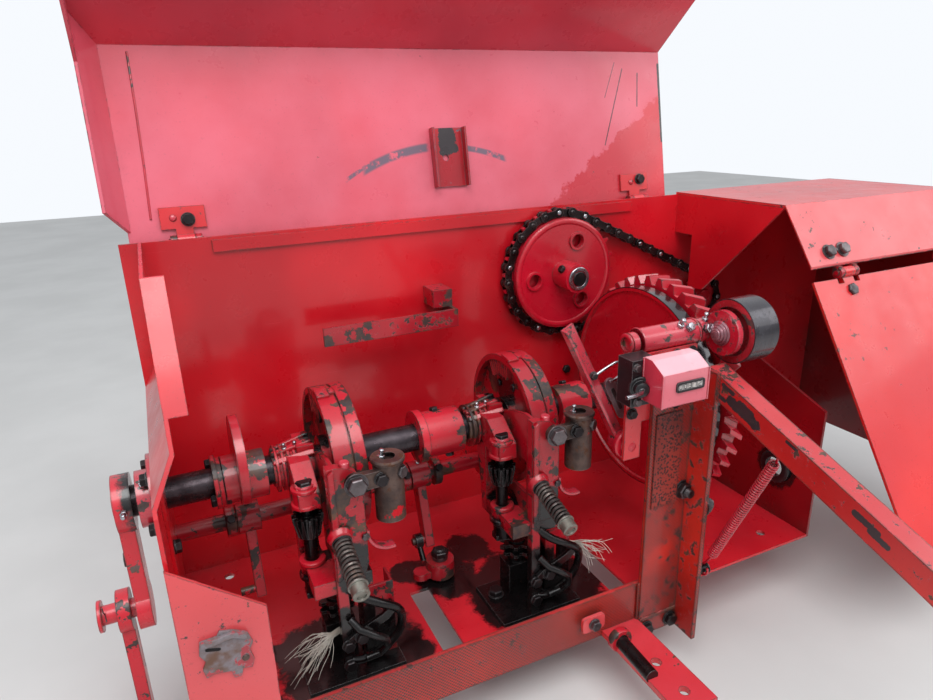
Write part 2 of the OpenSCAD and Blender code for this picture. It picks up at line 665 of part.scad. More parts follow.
// Cross shaft behind and below, with the finger levers
cross_y = 64;
cross_z = -92;
cross_d = 22;
cross_end = 440;
lever_x = [84, 318];
module finger_shaft() placed() color("firebrick") translate([0, cross_y, cross_z])
  rod_x(cross_d, -12, cross_end);
module finger_levers() placed() color("red") translate([0, cross_y, cross_z]) for (x = lever_x)
  difference() {
  union() {
    rod_x(40, x - 8, x + 20);
    side_sheet(x, x + 12, [[-12, 0], [12, 0], [-20, -96], [-40, -96]]);
    translate([0, tip_y, tip_z]) rod_x(tip_pin_d, x - 18, x);
  }
  rod_x(cross_d, x - 9, x + 21);
}
// Ball link from the second lever's pin down to the bell crank
tip_y = -30;
tip_z = -88;
tip_pin_d = 10;
link_in = 14;
ball_drop = [-18, -22];
module ball_link() placed() color("black")
  translate([lever_x[1] - link_in, cross_y + tip_y, cross_z + tip_z]) difference() {
    union() {
      rod_x(20, 0, 10);
      translate([5, 0, 0]) strut([0, 0, 0], [0, ball_drop[0], ball_drop[1]], 8);
    }
    rod_x(tip_pin_d + 2 * fit, -1, 11);
  }
bear_cx = 426;
cross_boss_d = 46;
module cross_bearing() placed() color("firebrick") translate([0, 0, cross_z]) difference() {
  union() {
    translate([0, cross_y, 0]) rod_x(cross_boss_d, bear_cx - 6, bear_cx + 12);
    box([bear_cx, cross_y, -20], [bear_cx + 6, back_y, 20]);
  }
  translate([0, cross_y, 0]) rod_x(cross_d + 2 * fit, bear_cx - 7, bear_cx + 13);
}
bell_x = 334;
bell_y = 16;
bell_pin_d = 14;
bell_h = 24;
bell_arm = 30;
bell_boss_d = 40;
module bell_pin() placed() color("dimgray") translate([bell_x, bell_y, 0]) {
  rod_z(bell_pin_d, floor_z - sheet, floor_z + 6 + bell_h + 4);
  rod_z(26, floor_z, floor_z + 5.5);
  rod_z(22, floor_z + 6 + bell_h + 1, floor_z + 6 + bell_h + 6);
}
module bell_crank() placed() color("red") translate([bell_x, bell_y, floor_z + 6]) difference() {
  union() {
    rod_z(bell_boss_d, 0, bell_h);
    box([-bell_arm, -9, 2], [0, 9, 12]);
    translate([-bell_arm, 0, 0]) rod_z(22, 2, 12);
  }
  rod_z(bell_pin_d + 2 * fit, -1, bell_h + 1);
}

// Roller chain: points of its pitch line by the length along it, from the top of the big sprocket
plate_t = 2.4;
plate_h = 8;
roll_d = 14.4;
turn = 180 / PI;
big_l = big_r * (180 + 2 * wrap_a) / turn;
run_l = centres * cos(wrap_a);
small_l = small_r * (180 - 2 * wrap_a) / turn;
function around(r, a0, s) = let (a = a0 + s / r * turn) [r * cos(a), r * sin(a)];
function on_big(s) = around(big_r, 90 - wrap_a, s);
function on_small(s) = [centres, 0] + around(small_r, wrap_a - 90, s);
function on_loop(s) = s < big_l ? on_big(s)
  : s < big_l + run_l ? on_big(big_l) + (s - big_l) * [cos(wrap_a), sin(wrap_a)]
  : s < big_l + run_l + small_l ? on_small(s - big_l - run_l)
  : on_small(small_l) + (s - big_l - run_l - small_l) * [-cos(wrap_a), sin(wrap_a)];
module on_chain() translate([spr_x, 0, spr_z]) rotate([0, -chain_tilt, 0]) children();
module chain() placed() color("black") on_chain() for (i = [0:chain_links - 1])
  let (a = on_loop(i * chain_p), b = on_loop(((i + 1) % chain_links) * chain_p), e = plate_t * (i % 2))
  translate([a[0], 0, a[1]]) rotate([0, -atan2(b[1] - a[1], b[0] - a[0]), 0]) {
    for (y = [chain_y0 + e, chain_y1 - plate_t - e])
      box([-6, y, -plate_h], [norm(b - a) + 6, y + plate_t, plate_h]);
    rod_y(roll_d, chain_y0 + plate_t - 0.2, chain_y1 - plate_t + 0.2, $fn = 12);
  }
// Sprocket outline: rollers lie in the gaps, the first of them at the angle a0
root_h = 8.2;
tip_h = 7;
function sprocket_pts(n, r, a0) = [for (i = [0:n - 1])
  for (q = [[-1.5, -root_h, 0], [1.5, -root_h, 0], [7.5, -4, 0], [-2.2, tip_h, 0.5], [2.2, tip_h, 0.5],
    [-7.5, -4, 1]])
  let (a = a0 + 360 * (i + q[2]) / n + q[0] / r * turn) [(r + q[1]) * cos(a), (r + q[1]) * sin(a)]];
teeth_y0 = chain_y0 + 5;
teeth_y1 = chain_y1 - 5;
face_r = big_r - 8;
face_y0 = chain_y0 - 8;
hub_y = back_y - 70;
hole_r = 56;
hole_d = 22;
hole_a = 66;
stub = 10;
module sprockets() placed() color("crimson") {
  on_chain() front_sheet(teeth_y0, teeth_y1, sprocket_pts(big_n, big_r, 90 - wrap_a));
  on_chain() translate([centres, 0, 0]) front_sheet(teeth_y0, teeth_y1,
    sprocket_pts(small_n, small_r, wrap_a - 90 - (big_l + run_l) / small_r * turn));
  translate([small_x, 0, small_z]) {
    rod_y(shoulder_d, chain_y0 - 4, back_y + sheet);
    rod_y(drive_d, back_y + sheet - 1, back_y + sheet + drive_l);
  }
  translate([spr_x, 0, spr_z]) {
    rod_y(shoulder_d, hub_y + 4, back_y + sheet + stub);
    rod_y(drive_d, hub_y, hub_y + 5);
    difference() {
      union() {
        rod_y(2 * face_r, face_y0, chain_y0 - curve_gap);
        rod_y(80, chain_y0 - 1, teeth_y0 + 1);
        rod_y(46, hub_y + 2, chain_y0);
        for (k = [0, 1, 2]) rotate([0, -hole_a - 120 * k, 0]) translate([hole_r, 0, 0])
          rod_y(hole_d + 8, face_y0 - 3, face_y0 + 1);
      }
      for (k = [0, 1, 2]) rotate([0, -hole_a - 120 * k, 0]) translate([hole_r, 0, 0])
        rod_y(hole_d, face_y0 - 4, chain_y0);
    }
  }
}

// Pivot tube on the counter's plate, the arm that turns in it, and the trip roller
cnt_y = face_y;
tube_y = -138;
tube_z = 130;
tube_x0 = post_x0 - 12;
tube_x1 = post_x1 + 7;
arm_shaft_d = 16;
module pivot_tube() placed() color("lightpink") difference() {
  union() {
    translate([0, tube_y, tube_z]) rod_x(tube_d, tube_x0, tube_x1);
    box([post_x0 + 10, cnt_y + sheet, 34], [post_x1 - 10, tube_y + 4, tube_z - tube_d / 2 + 2]);
  }
  translate([0, tube_y, tube_z]) rod_x(arm_shaft_d + 2 * fit, tube_x0 - 1, tube_x1 + 1);
}
arm_x1 = tube_x1 + 22;
rol_x0 = arm_x1 + body_gap + 0.5;
rol_x1 = rol_x0 + roller_w;
rol_y = -170;
rol_z = 134;
eye_r = 28;
module roller_arm() placed() color("red") {
  translate([0, tube_y, tube_z]) {
    rod_x(arm_shaft_d, tube_x0 - 6, arm_x1);
    rod_x(30, tube_x1 + 3, arm_x1);
    rod_x(26, tube_x0 - 12, tube_x0 - 3);
  }
  side_sheet(arm_x1 - 8, arm_x1, [[tube_y + 14, tube_z - 4], [tube_y + 8, tube_z + 12],
    [rol_y, rol_z + 26], [rol_y, rol_z - 26], [tube_y + 4, tube_z - 13]]);
  translate([0, rol_y, rol_z]) {
    rod_x(2 * eye_r, arm_x1 - 8, arm_x1);
    rod_x(arm_shaft_d, arm_x1 - 14, rol_x1 + 10);
    rod_x(30, rol_x1 + 6, rol_x1 + 12);
  }
}
// Roller with a recess in its left face
module trip_roller() placed() color("silver") translate([rol_x0, rol_y, rol_z]) difference() {
  turned_x([[0, arm_shaft_d / 2], [0, 15], [8, 15], [8, roller_d / 2 - 10], [0, roller_d / 2 - 10],
    [0, roller_d / 2], [roller_w, roller_d / 2], [roller_w, arm_shaft_d / 2]]);
  rod_x(arm_shaft_d + 2 * fit, -1, roller_w + 1);
}

// Trip arm, an angle that leans to the left of its pivot
trip_x = post_x0 - 24;
trip_z = 2;
trip_l = 178;
trip_a = 27;
trip_y = -front_y + 18;
trip_pin_d = 12;
module trip_arm() placed() color("red") translate([trip_x, 0, trip_z]) rotate([0, -trip_a, 0]) difference() {
  union() {
    box([-8, trip_y, 0], [8, trip_y + sheet, trip_l]);
    box([-8, trip_y - 8, 14], [-4, trip_y, trip_l]);
    rod_y(26, trip_y - 8, trip_y + 8);
  }
  rod_y(trip_pin_d + 2 * fit, trip_y - 9, trip_y + 9);
}

// Bale counter on its plate above the post
plate_x0 = post_x0 - 36;
plate_z0 = 34;
plate_z1 = 120;
body_y = cnt_y - 26;
box_y = body_y - 34;
module counter_plate() placed() color("silver") {
  box([plate_x0, cnt_y, plate_z0], [post_x1, cnt_y + sheet, plate_z1]);
  translate([trip_x, 0, trip_z]) rod_y(trip_pin_d, cnt_y + sheet - 1, trip_y + 14);
  box([trip_x - 12, cnt_y, -14], [trip_x + 12, cnt_y + sheet, plate_z0]);
}
module counter_body() placed() color("black")
  box([plate_x0 - 15, body_y, 70], [plate_x0 + 18, cnt_y, 126]);
module counter_box() placed() color("tomato") side_sheet(plate_x0, plate_x0 + counter_w,
  [[box_y, 78], [body_y, 78], [body_y, 129], [body_y - 14, 129], [box_y, 117]]);

// Stay bar to the front, an angle section, and its spring
stay_x = post_x1;
stay_a = 19.7;
stay_l = 350;
stay_y = face_y - 28;
stay_z = 80;
stay_h = 30;
stay_w = 25;
module stay_bar() placed() color("red") translate([stay_x, stay_y, stay_z]) rotate([180 + stay_a, 0, 0]) {
  box([0, -12, -stay_h / 2], [5, stay_l, stay_h / 2]);
  box([5, -12, -stay_h / 2], [stay_w, stay_l, -stay_h / 2 + 5]);
}
// Ends of the spring: low on the post's flange, high on the bar
high_l = 108;
spring_x = stay_x + 15;
spring_low = [spring_x, face_y - 30, -190];
spring_high = [spring_x, stay_y - high_l * cos(stay_a), stay_z - high_l * sin(stay_a) - 6];
module stay_spring() placed() color("red") {
  translate([0, spring_low[1], spring_low[2]]) rod_x(10, stay_x, spring_x + 6);
  translate([0, spring_high[1], spring_high[2]]) rod_x(10, stay_x + 5, spring_x + 6);
  strut(spring_low, spring_high, 14);
}

floor_plate();
back_wall();
left_wall();
left_doubler();
right_wall();
gusset();
bay_cover();
end_wall();
bay_door();
door_pins();
front_beam();
corner_plate();
post();
grip_strip();
lower_rail();
wall_bracket();
hood();
hood_channel();
hinge_eyes();
hinge_pins();
bearing_left();
bearing_right();
knotter_shaft();
collars();
finger_cam();
knotter_disc_1();
knotter_disc_2();
knotter_frame_1();
knotter_frame_2();
clamp_yoke_1();
clamp_yoke_2();
billhook_1();
billhook_2();
twine_holder_1();
twine_holder_2();
guide_channels();
spring_bolt_1();
spring_bolt_2();
chute_plates();
brake_drum();
gear_ring();
crank_arm();
drive_link();
finger_shaft();
finger_levers();
bell_pin();
bell_crank();
ball_link();
cross_bearing();
sprockets();
chain();
pivot_tube();
roller_arm();
trip_roller();
trip_arm();
counter_plate();
counter_body();
counter_box();
stay_bar();
stay_spring();
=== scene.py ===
import bpy
import bmesh
import math
import random
from mathutils import Matrix, Vector


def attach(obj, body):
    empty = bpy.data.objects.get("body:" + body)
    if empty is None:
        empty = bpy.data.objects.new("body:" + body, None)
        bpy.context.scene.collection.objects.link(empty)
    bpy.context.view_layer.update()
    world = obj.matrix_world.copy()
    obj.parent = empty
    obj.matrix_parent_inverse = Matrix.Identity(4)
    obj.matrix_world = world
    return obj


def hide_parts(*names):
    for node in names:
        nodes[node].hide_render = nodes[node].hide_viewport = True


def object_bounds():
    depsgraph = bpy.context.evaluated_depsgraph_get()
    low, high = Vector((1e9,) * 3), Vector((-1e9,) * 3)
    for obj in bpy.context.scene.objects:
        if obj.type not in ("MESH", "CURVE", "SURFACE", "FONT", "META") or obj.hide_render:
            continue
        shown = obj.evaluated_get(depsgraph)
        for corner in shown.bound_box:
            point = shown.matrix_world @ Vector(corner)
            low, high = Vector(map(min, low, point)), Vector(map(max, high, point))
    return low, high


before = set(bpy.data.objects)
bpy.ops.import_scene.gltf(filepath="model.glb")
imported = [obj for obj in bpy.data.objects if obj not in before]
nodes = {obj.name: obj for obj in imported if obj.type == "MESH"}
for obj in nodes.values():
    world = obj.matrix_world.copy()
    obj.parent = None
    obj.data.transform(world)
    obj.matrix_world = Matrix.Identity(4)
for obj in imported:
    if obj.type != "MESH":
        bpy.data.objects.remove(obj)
scene = bpy.context.scene
cad_lo, cad_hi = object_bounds()
random.seed(7)

MM = 0.001
# The shaft frame of the part's source, in millimetres, placed in the row frame
ORG = Vector((-438.5, -20.0, 240.0))
KNOTS = (180, 430)
X, Y, Z = Vector((1, 0, 0)), Vector((0, 1, 0)), Vector((0, 0, 1))


def P(x, y, z):
    return (Vector((x, y, z)) + ORG) * MM


def circle(radius, degrees):
    """The two coordinates of a point on a circle."""
    a = math.radians(degrees)
    return radius * math.cos(a), radius * math.sin(a)


def srgb(r, g, b):
    out = []
    for c in (r, g, b):
        c /= 255.0
        out.append(c / 12.92 if c <= 0.04045 else ((c + 0.055) / 1.055) ** 2.4)
    return (*out, 1.0)


# Materials
def put(socket, value):
    if isinstance(value, bpy.types.NodeSocket):
        socket.id_data.links.new(value, socket)
    else:
        socket.default_value = value


def add_node(tree, kind, fed, **props):
    """A new node with its properties set, its sockets fed by values or by other nodes' sockets."""
    node = tree.nodes.new("ShaderNode" + kind)
    for name, value in props.items():
        setattr(node, name, value)
    for socket, value in fed.items():
        put(node.inputs[socket], value)
    return node


class Graph:
    """A material: most methods add nodes to it and give back the socket that holds their result."""

    def __init__(self, name, metallic=0.0, coat=0.0):
        self.mat = bpy.data.materials.new(name)
        self.mat.use_nodes = True
        self.mat.node_tree.nodes.clear()
        self.bsdf = self.add("BsdfPrincipled", {
            "Metallic": metallic, "Coat Weight": coat, "Coat Roughness": 0.1, "Specular IOR Level": 0.5})
        self.add("OutputMaterial", {0: self.bsdf.outputs[0]})
        self.co = self.add("TexCoord", {}).outputs

    def add(self, kind, fed, **props):
        return add_node(self.mat.node_tree, kind, fed, **props)

    def where(self, shift, stretch=(1, 1, 1)):
        fed = {"Vector": self.co["Object"], "Location": shift, "Scale": stretch}
        return self.add("Mapping", fed).outputs[0]

    def noise(self, scale, detail=3.0, rough=0.55, stretch=(1, 1, 1), shift=(0, 0, 0), distort=0.0):
        n = self.add("TexNoise", {"Vector": self.where(shift, stretch), "Scale": scale, "Detail": detail,
                                  "Roughness": rough, "Distortion": distort})
        return n.outputs["Fac"]

    def cells(self, scale, shift):
        return self.add("TexVoronoi", {"Vector": self.where(shift), "Scale": scale}).outputs["Distance"]

    def math(self, op, a, b=0.0, clamp=False):
        return self.add("Math", {0: a, 1: b}, operation=op, use_clamp=clamp).outputs[0]

    def plus(self, a, b):
        return self.math("ADD", a, b)

    def minus(self, a, b, clamp=False):
        return self.math("SUBTRACT", a, b, clamp)

    def times(self, a, b):
        return self.math("MULTIPLY", a, b)

    def most(self, a, b):
        return self.math("MAXIMUM", a, b)

    def vector(self, op, a, b):
        """Two vectors joined by op: the outputs of the node."""
        return self.add("VectorMath", {0: a, 1: b}, operation=op).outputs

    def step(self, value, low, high, to_low=0.0, to_high=1.0):
        fed = {"Value": value, "From Min": low, "From Max": high, "To Min": to_low, "To Max": to_high}
        return self.add("MapRange", fed, interpolation_type="SMOOTHSTEP").outputs[0]

    def mix(self, fac, a, b):
        return self.add("Mix", {"Factor": fac, 6: a, 7: b}, data_type="RGBA").outputs[2]

    def axis(self, which):
        return self.add("SeparateXYZ", {0: self.co["Object"]}).outputs[which]

    def edge(self, radius):
        """Near 1 at sharp edges and 0 on flat faces."""
        rounded = self.add("Bevel", {"Radius": radius}, samples=4).outputs[0]
        flat = self.add("NewGeometry", {}).outputs["True Normal"]
        return self.step(self.vector("DOT_PRODUCT", rounded, flat)["Value"], 0.99, 0.80)

    def corner(self, distance):
        """Near 1 where surfaces meet in a hollow: the mask of painted shade, with grime or grease, in
        hollows.
        """
        open_sky = self.add("AmbientOcclusion", {"Distance": distance}, samples=2).outputs["AO"]
        return self.minus(1.0, open_sky, clamp=True)

    def distance(self, point):
        """Metres from a point of the shaft frame."""
        return self.vector("DISTANCE", self.co["Object"], P(*point))["Value"]

    def near(self, point, radius, soft):
        """1 inside a ball round a point of the shaft frame, fading out over soft, in millimetres."""
        return self.step(self.distance(point), (radius + soft) * MM, (radius - soft) * MM)

    def along(self, a, b, width):
        """1 along a straight scratch between two points of the shaft frame, in millimetres."""
        soft = 0.6
        run = P(*b) - P(*a)
        start = self.vector("SUBTRACT", self.co["Object"], P(*a))[0]
        share = self.vector("DOT_PRODUCT", start, run / run.length_squared)["Value"]
        share = self.math("ADD", share, 0.0, clamp=True)
        foot = self.add("VectorMath", {0: run, "Scale": share}, operation="SCALE").outputs[0]
        gap = self.vector("DISTANCE", start, foot)["Value"]
        return self.step(gap, width * (1 + soft) * MM, width * (1 - soft) * MM)

    def round_mark(self, point, radius, width):
        """1 along a circle of the given radius round a point, in millimetres."""
        off = self.math("ABSOLUTE", self.minus(self.distance(point), radius * MM))
        return self.step(off, width * MM, width * MM / 2)

    def beyond(self, point, direction):
        """1 on the far side of a plane through a point of the shaft frame, its edge ragged."""
        soft, ragged = 3 * MM, 70 * MM
        out = Vector(direction).normalized()
        reach = self.vector("DOT_PRODUCT", self.co["Object"], out)["Value"]
        base = P(*point).dot(out)
        off = self.times(self.minus(self.noise(34.0, 6.0, 0.7), 0.5), ragged)
        return self.step(self.plus(reach, off), base - soft, base + soft)

    def facing(self, direction, low, high):
        """1 where the surface faces a direction of the part's frame."""
        turned = self.vector("DOT_PRODUCT", self.co["Normal"], Vector(direction).normalized())
        return self.step(turned["Value"], low, high)

    def radial(self, y, z):
        """Distance from a line along X through y, z of the shaft frame, in metres."""
        dy = self.minus(self.axis(1), (y + ORG.y) * MM)
        dz = self.minus(self.axis(2), (z + ORG.z) * MM)
        return self.math("SQRT", self.plus(self.times(dy, dy), self.times(dz, dz)))

    def bump(self, height, strength, soften):
        """Fine relief, over edges rounded by soften metres."""
        fed = {"Strength": strength, "Distance": 0.0006, "Height": height}
        if soften:
            fed["Normal"] = self.add("Bevel", {"Radius": soften}, samples=2).outputs[0]
        put(self.bsdf.inputs["Normal"], self.add("Bump", fed).outputs[0])

    def done(self, colour, rough):
        put(self.bsdf.inputs["Base Color"], colour)
        put(self.bsdf.inputs["Roughness"], rough)
        return self.mat


PINK = srgb(236, 104, 118)
STEEL = srgb(50, 42, 45)
RUST = srgb(96, 62, 44)
# Black grease, also used as painted shade where it fills the hollows of steel parts
GREASE_AND_SHADE = srgb(18, 14, 15)
# Brown dirt, also used as painted shade where it fills corners
DIRT_AND_SHADE = srgb(74, 46, 40)
SCUFF = srgb(112, 92, 108)

# The opened hood: u runs up its panel from the hinge line and n out of the panel towards the baler's front
HINGE = Vector((0.0, 202.0, 246.0))
LEAN = math.radians(10)
HOOD_U = Vector((0.0, math.sin(LEAN), math.cos(LEAN)))
HOOD_N = Vector((0.0, -math.cos(LEAN), math.sin(LEAN)))
HOOD_FACE = -9.5
# The roller and its nut turn about this line along X
ROL_Y, ROL_Z = -170, 134


def hood_at(x, u, n=HOOD_FACE):
    return tuple(Vector((x, 0, 0)) + HINGE + HOOD_U * u + HOOD_N * n)


def painted(name, light, dark, bare=(50, 42, 45), chips=0.0, dirt_and_shade=0.5, pits=0.0, grease=(), fade_and_sheen=0.12,
            rough=0.3, edge_w=0.0025, scratches=0.0, sheen=(), chalk_and_sheen=(232, 116, 134), marks=(), rings=(),
            marked_side=None, soften=0.0012, gloss_beyond=None, dots=0.0, patches=0.0, band=None, coat=0.45,
            grit=0.0):
    """Sprayed paint with paled tops, chips along edges, grime and painted shade in corners, and greased and
    scuffed places.

    Colours are red, green and blue up to 255. Faces turned up are paled, partly by weather fade and partly
    as a painted sky sheen. sheen rows are (direction, strength): faces turned that way are paled towards the
    chalk colour, a painted reflection of the sky. marks rows are straight scratches (from, to, width), and
    rings rows are round scuffs (centre, radius, width, x0, x1). patches bares whole areas. band is
    (y, z, radius, colour), which bares what lies beyond a radius round a line along X.
    """
    light, dark, bare, chalk_and_sheen = (srgb(*c) for c in (light, dark, bare, chalk_and_sheen))
    g = Graph(name, coat=coat)
    colour = g.mix(g.step(g.noise(5.0, 2.0, 0.45), 0.38, 0.66), dark, light)
    # Faces turned up are paled towards the chalk colour: partly weather fade, partly a painted sheen of the
    # sky
    top_fade_and_sheen = g.times(g.facing((0, -0.15, 1), 0.2, 0.95), g.step(g.noise(13.0, 4.0, 0.6), 0.2, 0.75, 0.45, 1.0))
    sheen_and_fade = g.times(top_fade_and_sheen, fade_and_sheen)
    # Painted reflection of the sky: faces turned each sheen direction are paled in patches
    for direction, strength in sheen:
        side = g.facing(direction, 0.55, 0.97)
        cloud = g.step(g.noise(6.0, 5.0, 0.55, shift=(2, 7, 1)), 0.25, 0.75, 0.55, 1.0)
        sheen_and_fade = g.most(sheen_and_fade, g.times(g.times(side, cloud), strength))
    # Beyond a plane the painted sheen and fade are mostly taken off, leaving a deeper, glossier red
    if gloss_beyond:
        sheen_and_fade = g.times(sheen_and_fade, g.minus(1.0, g.times(g.beyond(*gloss_beyond), 0.8)))
    colour = g.mix(sheen_and_fade, colour, chalk_and_sheen)
    fine = g.noise(70.0, 6.0, 0.7)
    edge = g.edge(edge_w)
    # Painted shade with grime: an ambient-occlusion test browns and darkens the hollows and corners
    grime_and_shade = g.times(g.corner(0.03), g.step(g.noise(22.0, 5.0, 0.65, shift=(3, 1, 2)), 0.3, 0.7))
    colour = g.mix(g.times(g.step(grime_and_shade, 0.12, 0.75), dirt_and_shade), colour, DIRT_AND_SHADE)
    speck = g.step(g.noise(330.0, 2.0, 0.5, shift=(9, 4, 1)), 0.66, 0.70)
    colour = g.mix(g.times(speck, 0.35 * dirt_and_shade), colour, DIRT_AND_SHADE)
    # Chips follow edges, with some islands on the faces. The relief leaves the edges out, as their test is
    # slow to trace three times for a slope
    chip_from, chip_to = 0.94 - 0.17 * chips, 0.955 - 0.17 * chips
    islands = g.plus(fine, g.times(g.noise(9.0, 2.0, shift=(5, 5, 5)), 0.35))
    field = g.plus(islands, g.times(edge, 0.22))
    chip = g.step(field, chip_from, chip_to)
    hollow = g.step(islands, chip_from, chip_to)
    if patches:
        area = g.noise(21.0, 7.0, 0.6, shift=(11, 3, 6))
        torn = g.plus(area, g.times(g.minus(g.noise(110.0, 4.0, 0.7), 0.5), 0.12))
        bare_area = g.step(torn, 0.655 - 0.1 * patches, 0.662 - 0.1 * patches)
        chip = g.most(chip, bare_area)
        hollow = g.most(hollow, bare_area)
    metal = g.mix(g.step(g.noise(120.0, 5.0, 0.7), 0.35, 0.65), bare, g.mix(0.5, bare, RUST))
    metal = g.mix(g.step(g.noise(40.0, 3.0, shift=(2, 2, 7)), 0.5, 0.7), metal, RUST)
    # A pale rim of primer round each chip
    rim = g.minus(g.step(field, 0.925 - 0.17 * chips, 0.945 - 0.17 * chips), chip, clamp=True)
    colour = g.mix(g.times(rim, 0.5), colour, PINK)
    colour = g.mix(chip, colour, metal)
    height = g.times(g.noise(420.0, 2.0), 0.12)
    height = g.minus(height, g.times(hollow, 0.6))
    if pits:
        pit = g.step(g.cells(150.0, (1, 2, 3)), 0.30, 0.12)
        pit = g.times(pit, g.step(g.noise(18.0, 3.0, shift=(8, 1, 4)), 0.42, 0.6))
        colour = g.mix(g.times(pit, pits), colour, RUST)
        height = g.minus(height, g.times(pit, 0.8))
    if dots:
        # Rows of small dark dots where dirt stands in the rolled surface
        wave = math.pi / 0.0046
        one = g.math("SINE", g.times(g.plus(g.axis(0), g.axis(2)), wave))
        two = g.math("SINE", g.times(g.minus(g.axis(0), g.axis(2)), wave))
        net = g.times(g.math("ABSOLUTE", one), g.math("ABSOLUTE", two))
        net = g.plus(net, g.times(g.noise(230.0, 2.0), 0.5))
        dot = g.times(g.step(net, 0.52, 0.76), g.step(g.noise(11.0, 3.0, shift=(3, 3, 3)), 0.25, 0.45))
        dot = g.times(dot, g.facing((0, -1, 0), 0.8, 0.95))
        colour = g.mix(g.times(dot, dots), colour, bare)
        height = g.minus(height, g.times(dot, 0.5))
    if grit:
        grain = g.step(g.cells(300.0, (4, 4, 4)), 0.50, 0.36)
        grain = g.times(grain, g.step(g.noise(36.0, 4.0, 0.7, shift=(2, 9, 4)), 0.30, 0.44))
        colour = g.mix(g.times(grain, grit), colour, bare)
        height = g.plus(height, g.times(grain, 0.9))
    if scratches:
        s = g.step(g.noise(14.0, 2.0, 0.5, stretch=(1.0, 9.0, 60.0), distort=0.4), 0.735, 0.75)
        colour = g.mix(g.times(s, scratches), colour, PINK)
    if band:
        y, z, r, worn = band
        shine = g.step(g.radial(y, z), (r - 0.5) * MM, (r + 0.3) * MM)
        worn_band = g.mix(g.step(g.noise(34.0, 5.0, 0.7, stretch=(3, 1, 1)), 0.3, 0.7), srgb(*worn),
                          g.mix(0.5, srgb(*worn), STEEL))
        colour = g.mix(shine, colour, worn_band)
        put(g.bsdf.inputs["Metallic"], g.times(shine, 0.8))
    marked = g.facing(marked_side, 0.2, 0.6) if marked_side else 1.0
    for a, b, width in marks:
        close = g.along(a, b, width)
        torn = g.plus(close, g.times(g.noise(110.0, 5.0, 0.75, shift=(3, 0, 3)), 1.5))
        cut = g.times(g.step(torn, 1.28, 1.34), g.step(close, 0.02, 0.1))
        colour = g.mix(g.times(cut, marked), colour, STEEL)
    for point, radius, width, x0, x1 in rings:
        left = g.step(g.axis(0), (x0 + ORG.x) * MM, (x0 + 8 + ORG.x) * MM)
        within = g.times(left, g.step(g.axis(0), (x1 + ORG.x) * MM, (x1 - 8 + ORG.x) * MM))
        broken = g.step(g.noise(60.0, 5.0, 0.7, shift=(5, 2, 2)), 0.36, 0.46)
        mark = g.times(g.times(g.round_mark(point, radius, width), within), broken)
        colour = g.mix(g.times(mark, marked), colour, SCUFF)
    roughness = g.step(g.noise(26.0, 4.0, 0.6, shift=(4, 0, 0)), 0.2, 0.8, rough - 0.08, rough + 0.14)
    roughness = g.plus(roughness, g.times(sheen_and_fade, 0.2))
    roughness = g.plus(roughness, g.times(chip, 0.16))
    for spot in grease:
        wet = g.plus(g.near(*spot), g.times(g.noise(34.0, 5.0, 0.7, shift=(0, 6, 3)), 0.9))
        wet = g.step(wet, 0.95, 1.15)
        colour = g.mix(wet, colour, GREASE_AND_SHADE)
        roughness = g.minus(roughness, g.times(wet, 0.12), clamp=True)
    g.bump(height, 0.5, soften)
    return g.done(colour, roughness)


def metal(name, base, other, rust=0.3, grease=0.0, rough=0.42, metallic=0.85, paint=0.0, streak=None,
          specks=0.3, paint_colour=(206, 24, 38), soften=0.0006, rings=None):
    """Bare steel with oil, rust and left-over paint, and black grease that also paints the shade of hollows.
    rings is (y, z), where the turned grooves' axis is.
    """
    base, other = srgb(*base), srgb(*other)
    g = Graph(name, metallic=metallic)
    colour = g.mix(g.step(g.noise(28.0, 5.0, 0.65), 0.3, 0.7), base, other)
    r = g.step(g.noise(60.0, 6.0, 0.7, shift=(2, 5, 1)), 0.66 - 0.25 * rust, 0.74 - 0.2 * rust)
    colour = g.mix(g.times(r, min(1.0, 0.4 + rust)), colour, RUST)
    bright = g.mix(0.5, base, (0.75, 0.75, 0.76, 1))
    colour = g.mix(g.times(g.edge(0.0015), 0.35), colour, bright)
    speck = g.step(g.noise(260.0, 2.0, 0.6, shift=(6, 6, 0)), 0.62, 0.68)
    colour = g.mix(g.times(speck, specks), colour, other)
    roughness = g.step(g.noise(50.0, 4.0, 0.6), 0.2, 0.8, rough - 0.12, rough + 0.18)
    roughness = g.math("ADD", roughness, g.times(r, 0.3), clamp=True)
    if paint:
        p = g.step(g.noise(38.0, 5.0, 0.7, shift=(7, 3, 9)), 0.74 - 0.4 * paint, 0.76 - 0.4 * paint)
        colour = g.mix(p, colour, srgb(*paint_colour))
    if grease:
        # Black where an ambient-occlusion test finds hollows: partly grease, partly painted shade
        w = g.plus(g.corner(0.02), g.noise(24.0, 4.0, 0.65, shift=(1, 1, 8)))
        w = g.step(w, 1.15 - 0.9 * grease, 1.3 - 0.9 * grease)
        colour = g.mix(w, colour, GREASE_AND_SHADE)
        roughness = g.minus(roughness, g.times(w, 0.15), clamp=True)
    h = g.plus(g.times(g.noise(300.0, 3.0), 0.3), g.times(r, 0.5))
    if streak:
        h = g.plus(h, g.times(g.noise(90.0, 2.0, stretch=streak), 0.4))
    if rings:
        h = g.plus(h, g.times(g.math("SINE", g.times(g.radial(*rings), 2400.0)), 0.5))
    g.bump(h, 0.45, soften)
    return g.done(colour, roughness)


FLOOR_TOP = -236
FLOOR_GREASE = [((x, y, FLOOR_TOP), radius, soft) for x, y, radius, soft in (
    (180, -76, 95, 40), (440, -70, 100, 45), (340, 10, 52, 34), (60, -120, 35, 25), (395, 60, 40, 30),
    (96, -30, 16, 10), (190, 96, 18, 12), (128, -40, 44, 34), (252, -104, 26, 20), (296, 44, 30, 24))]
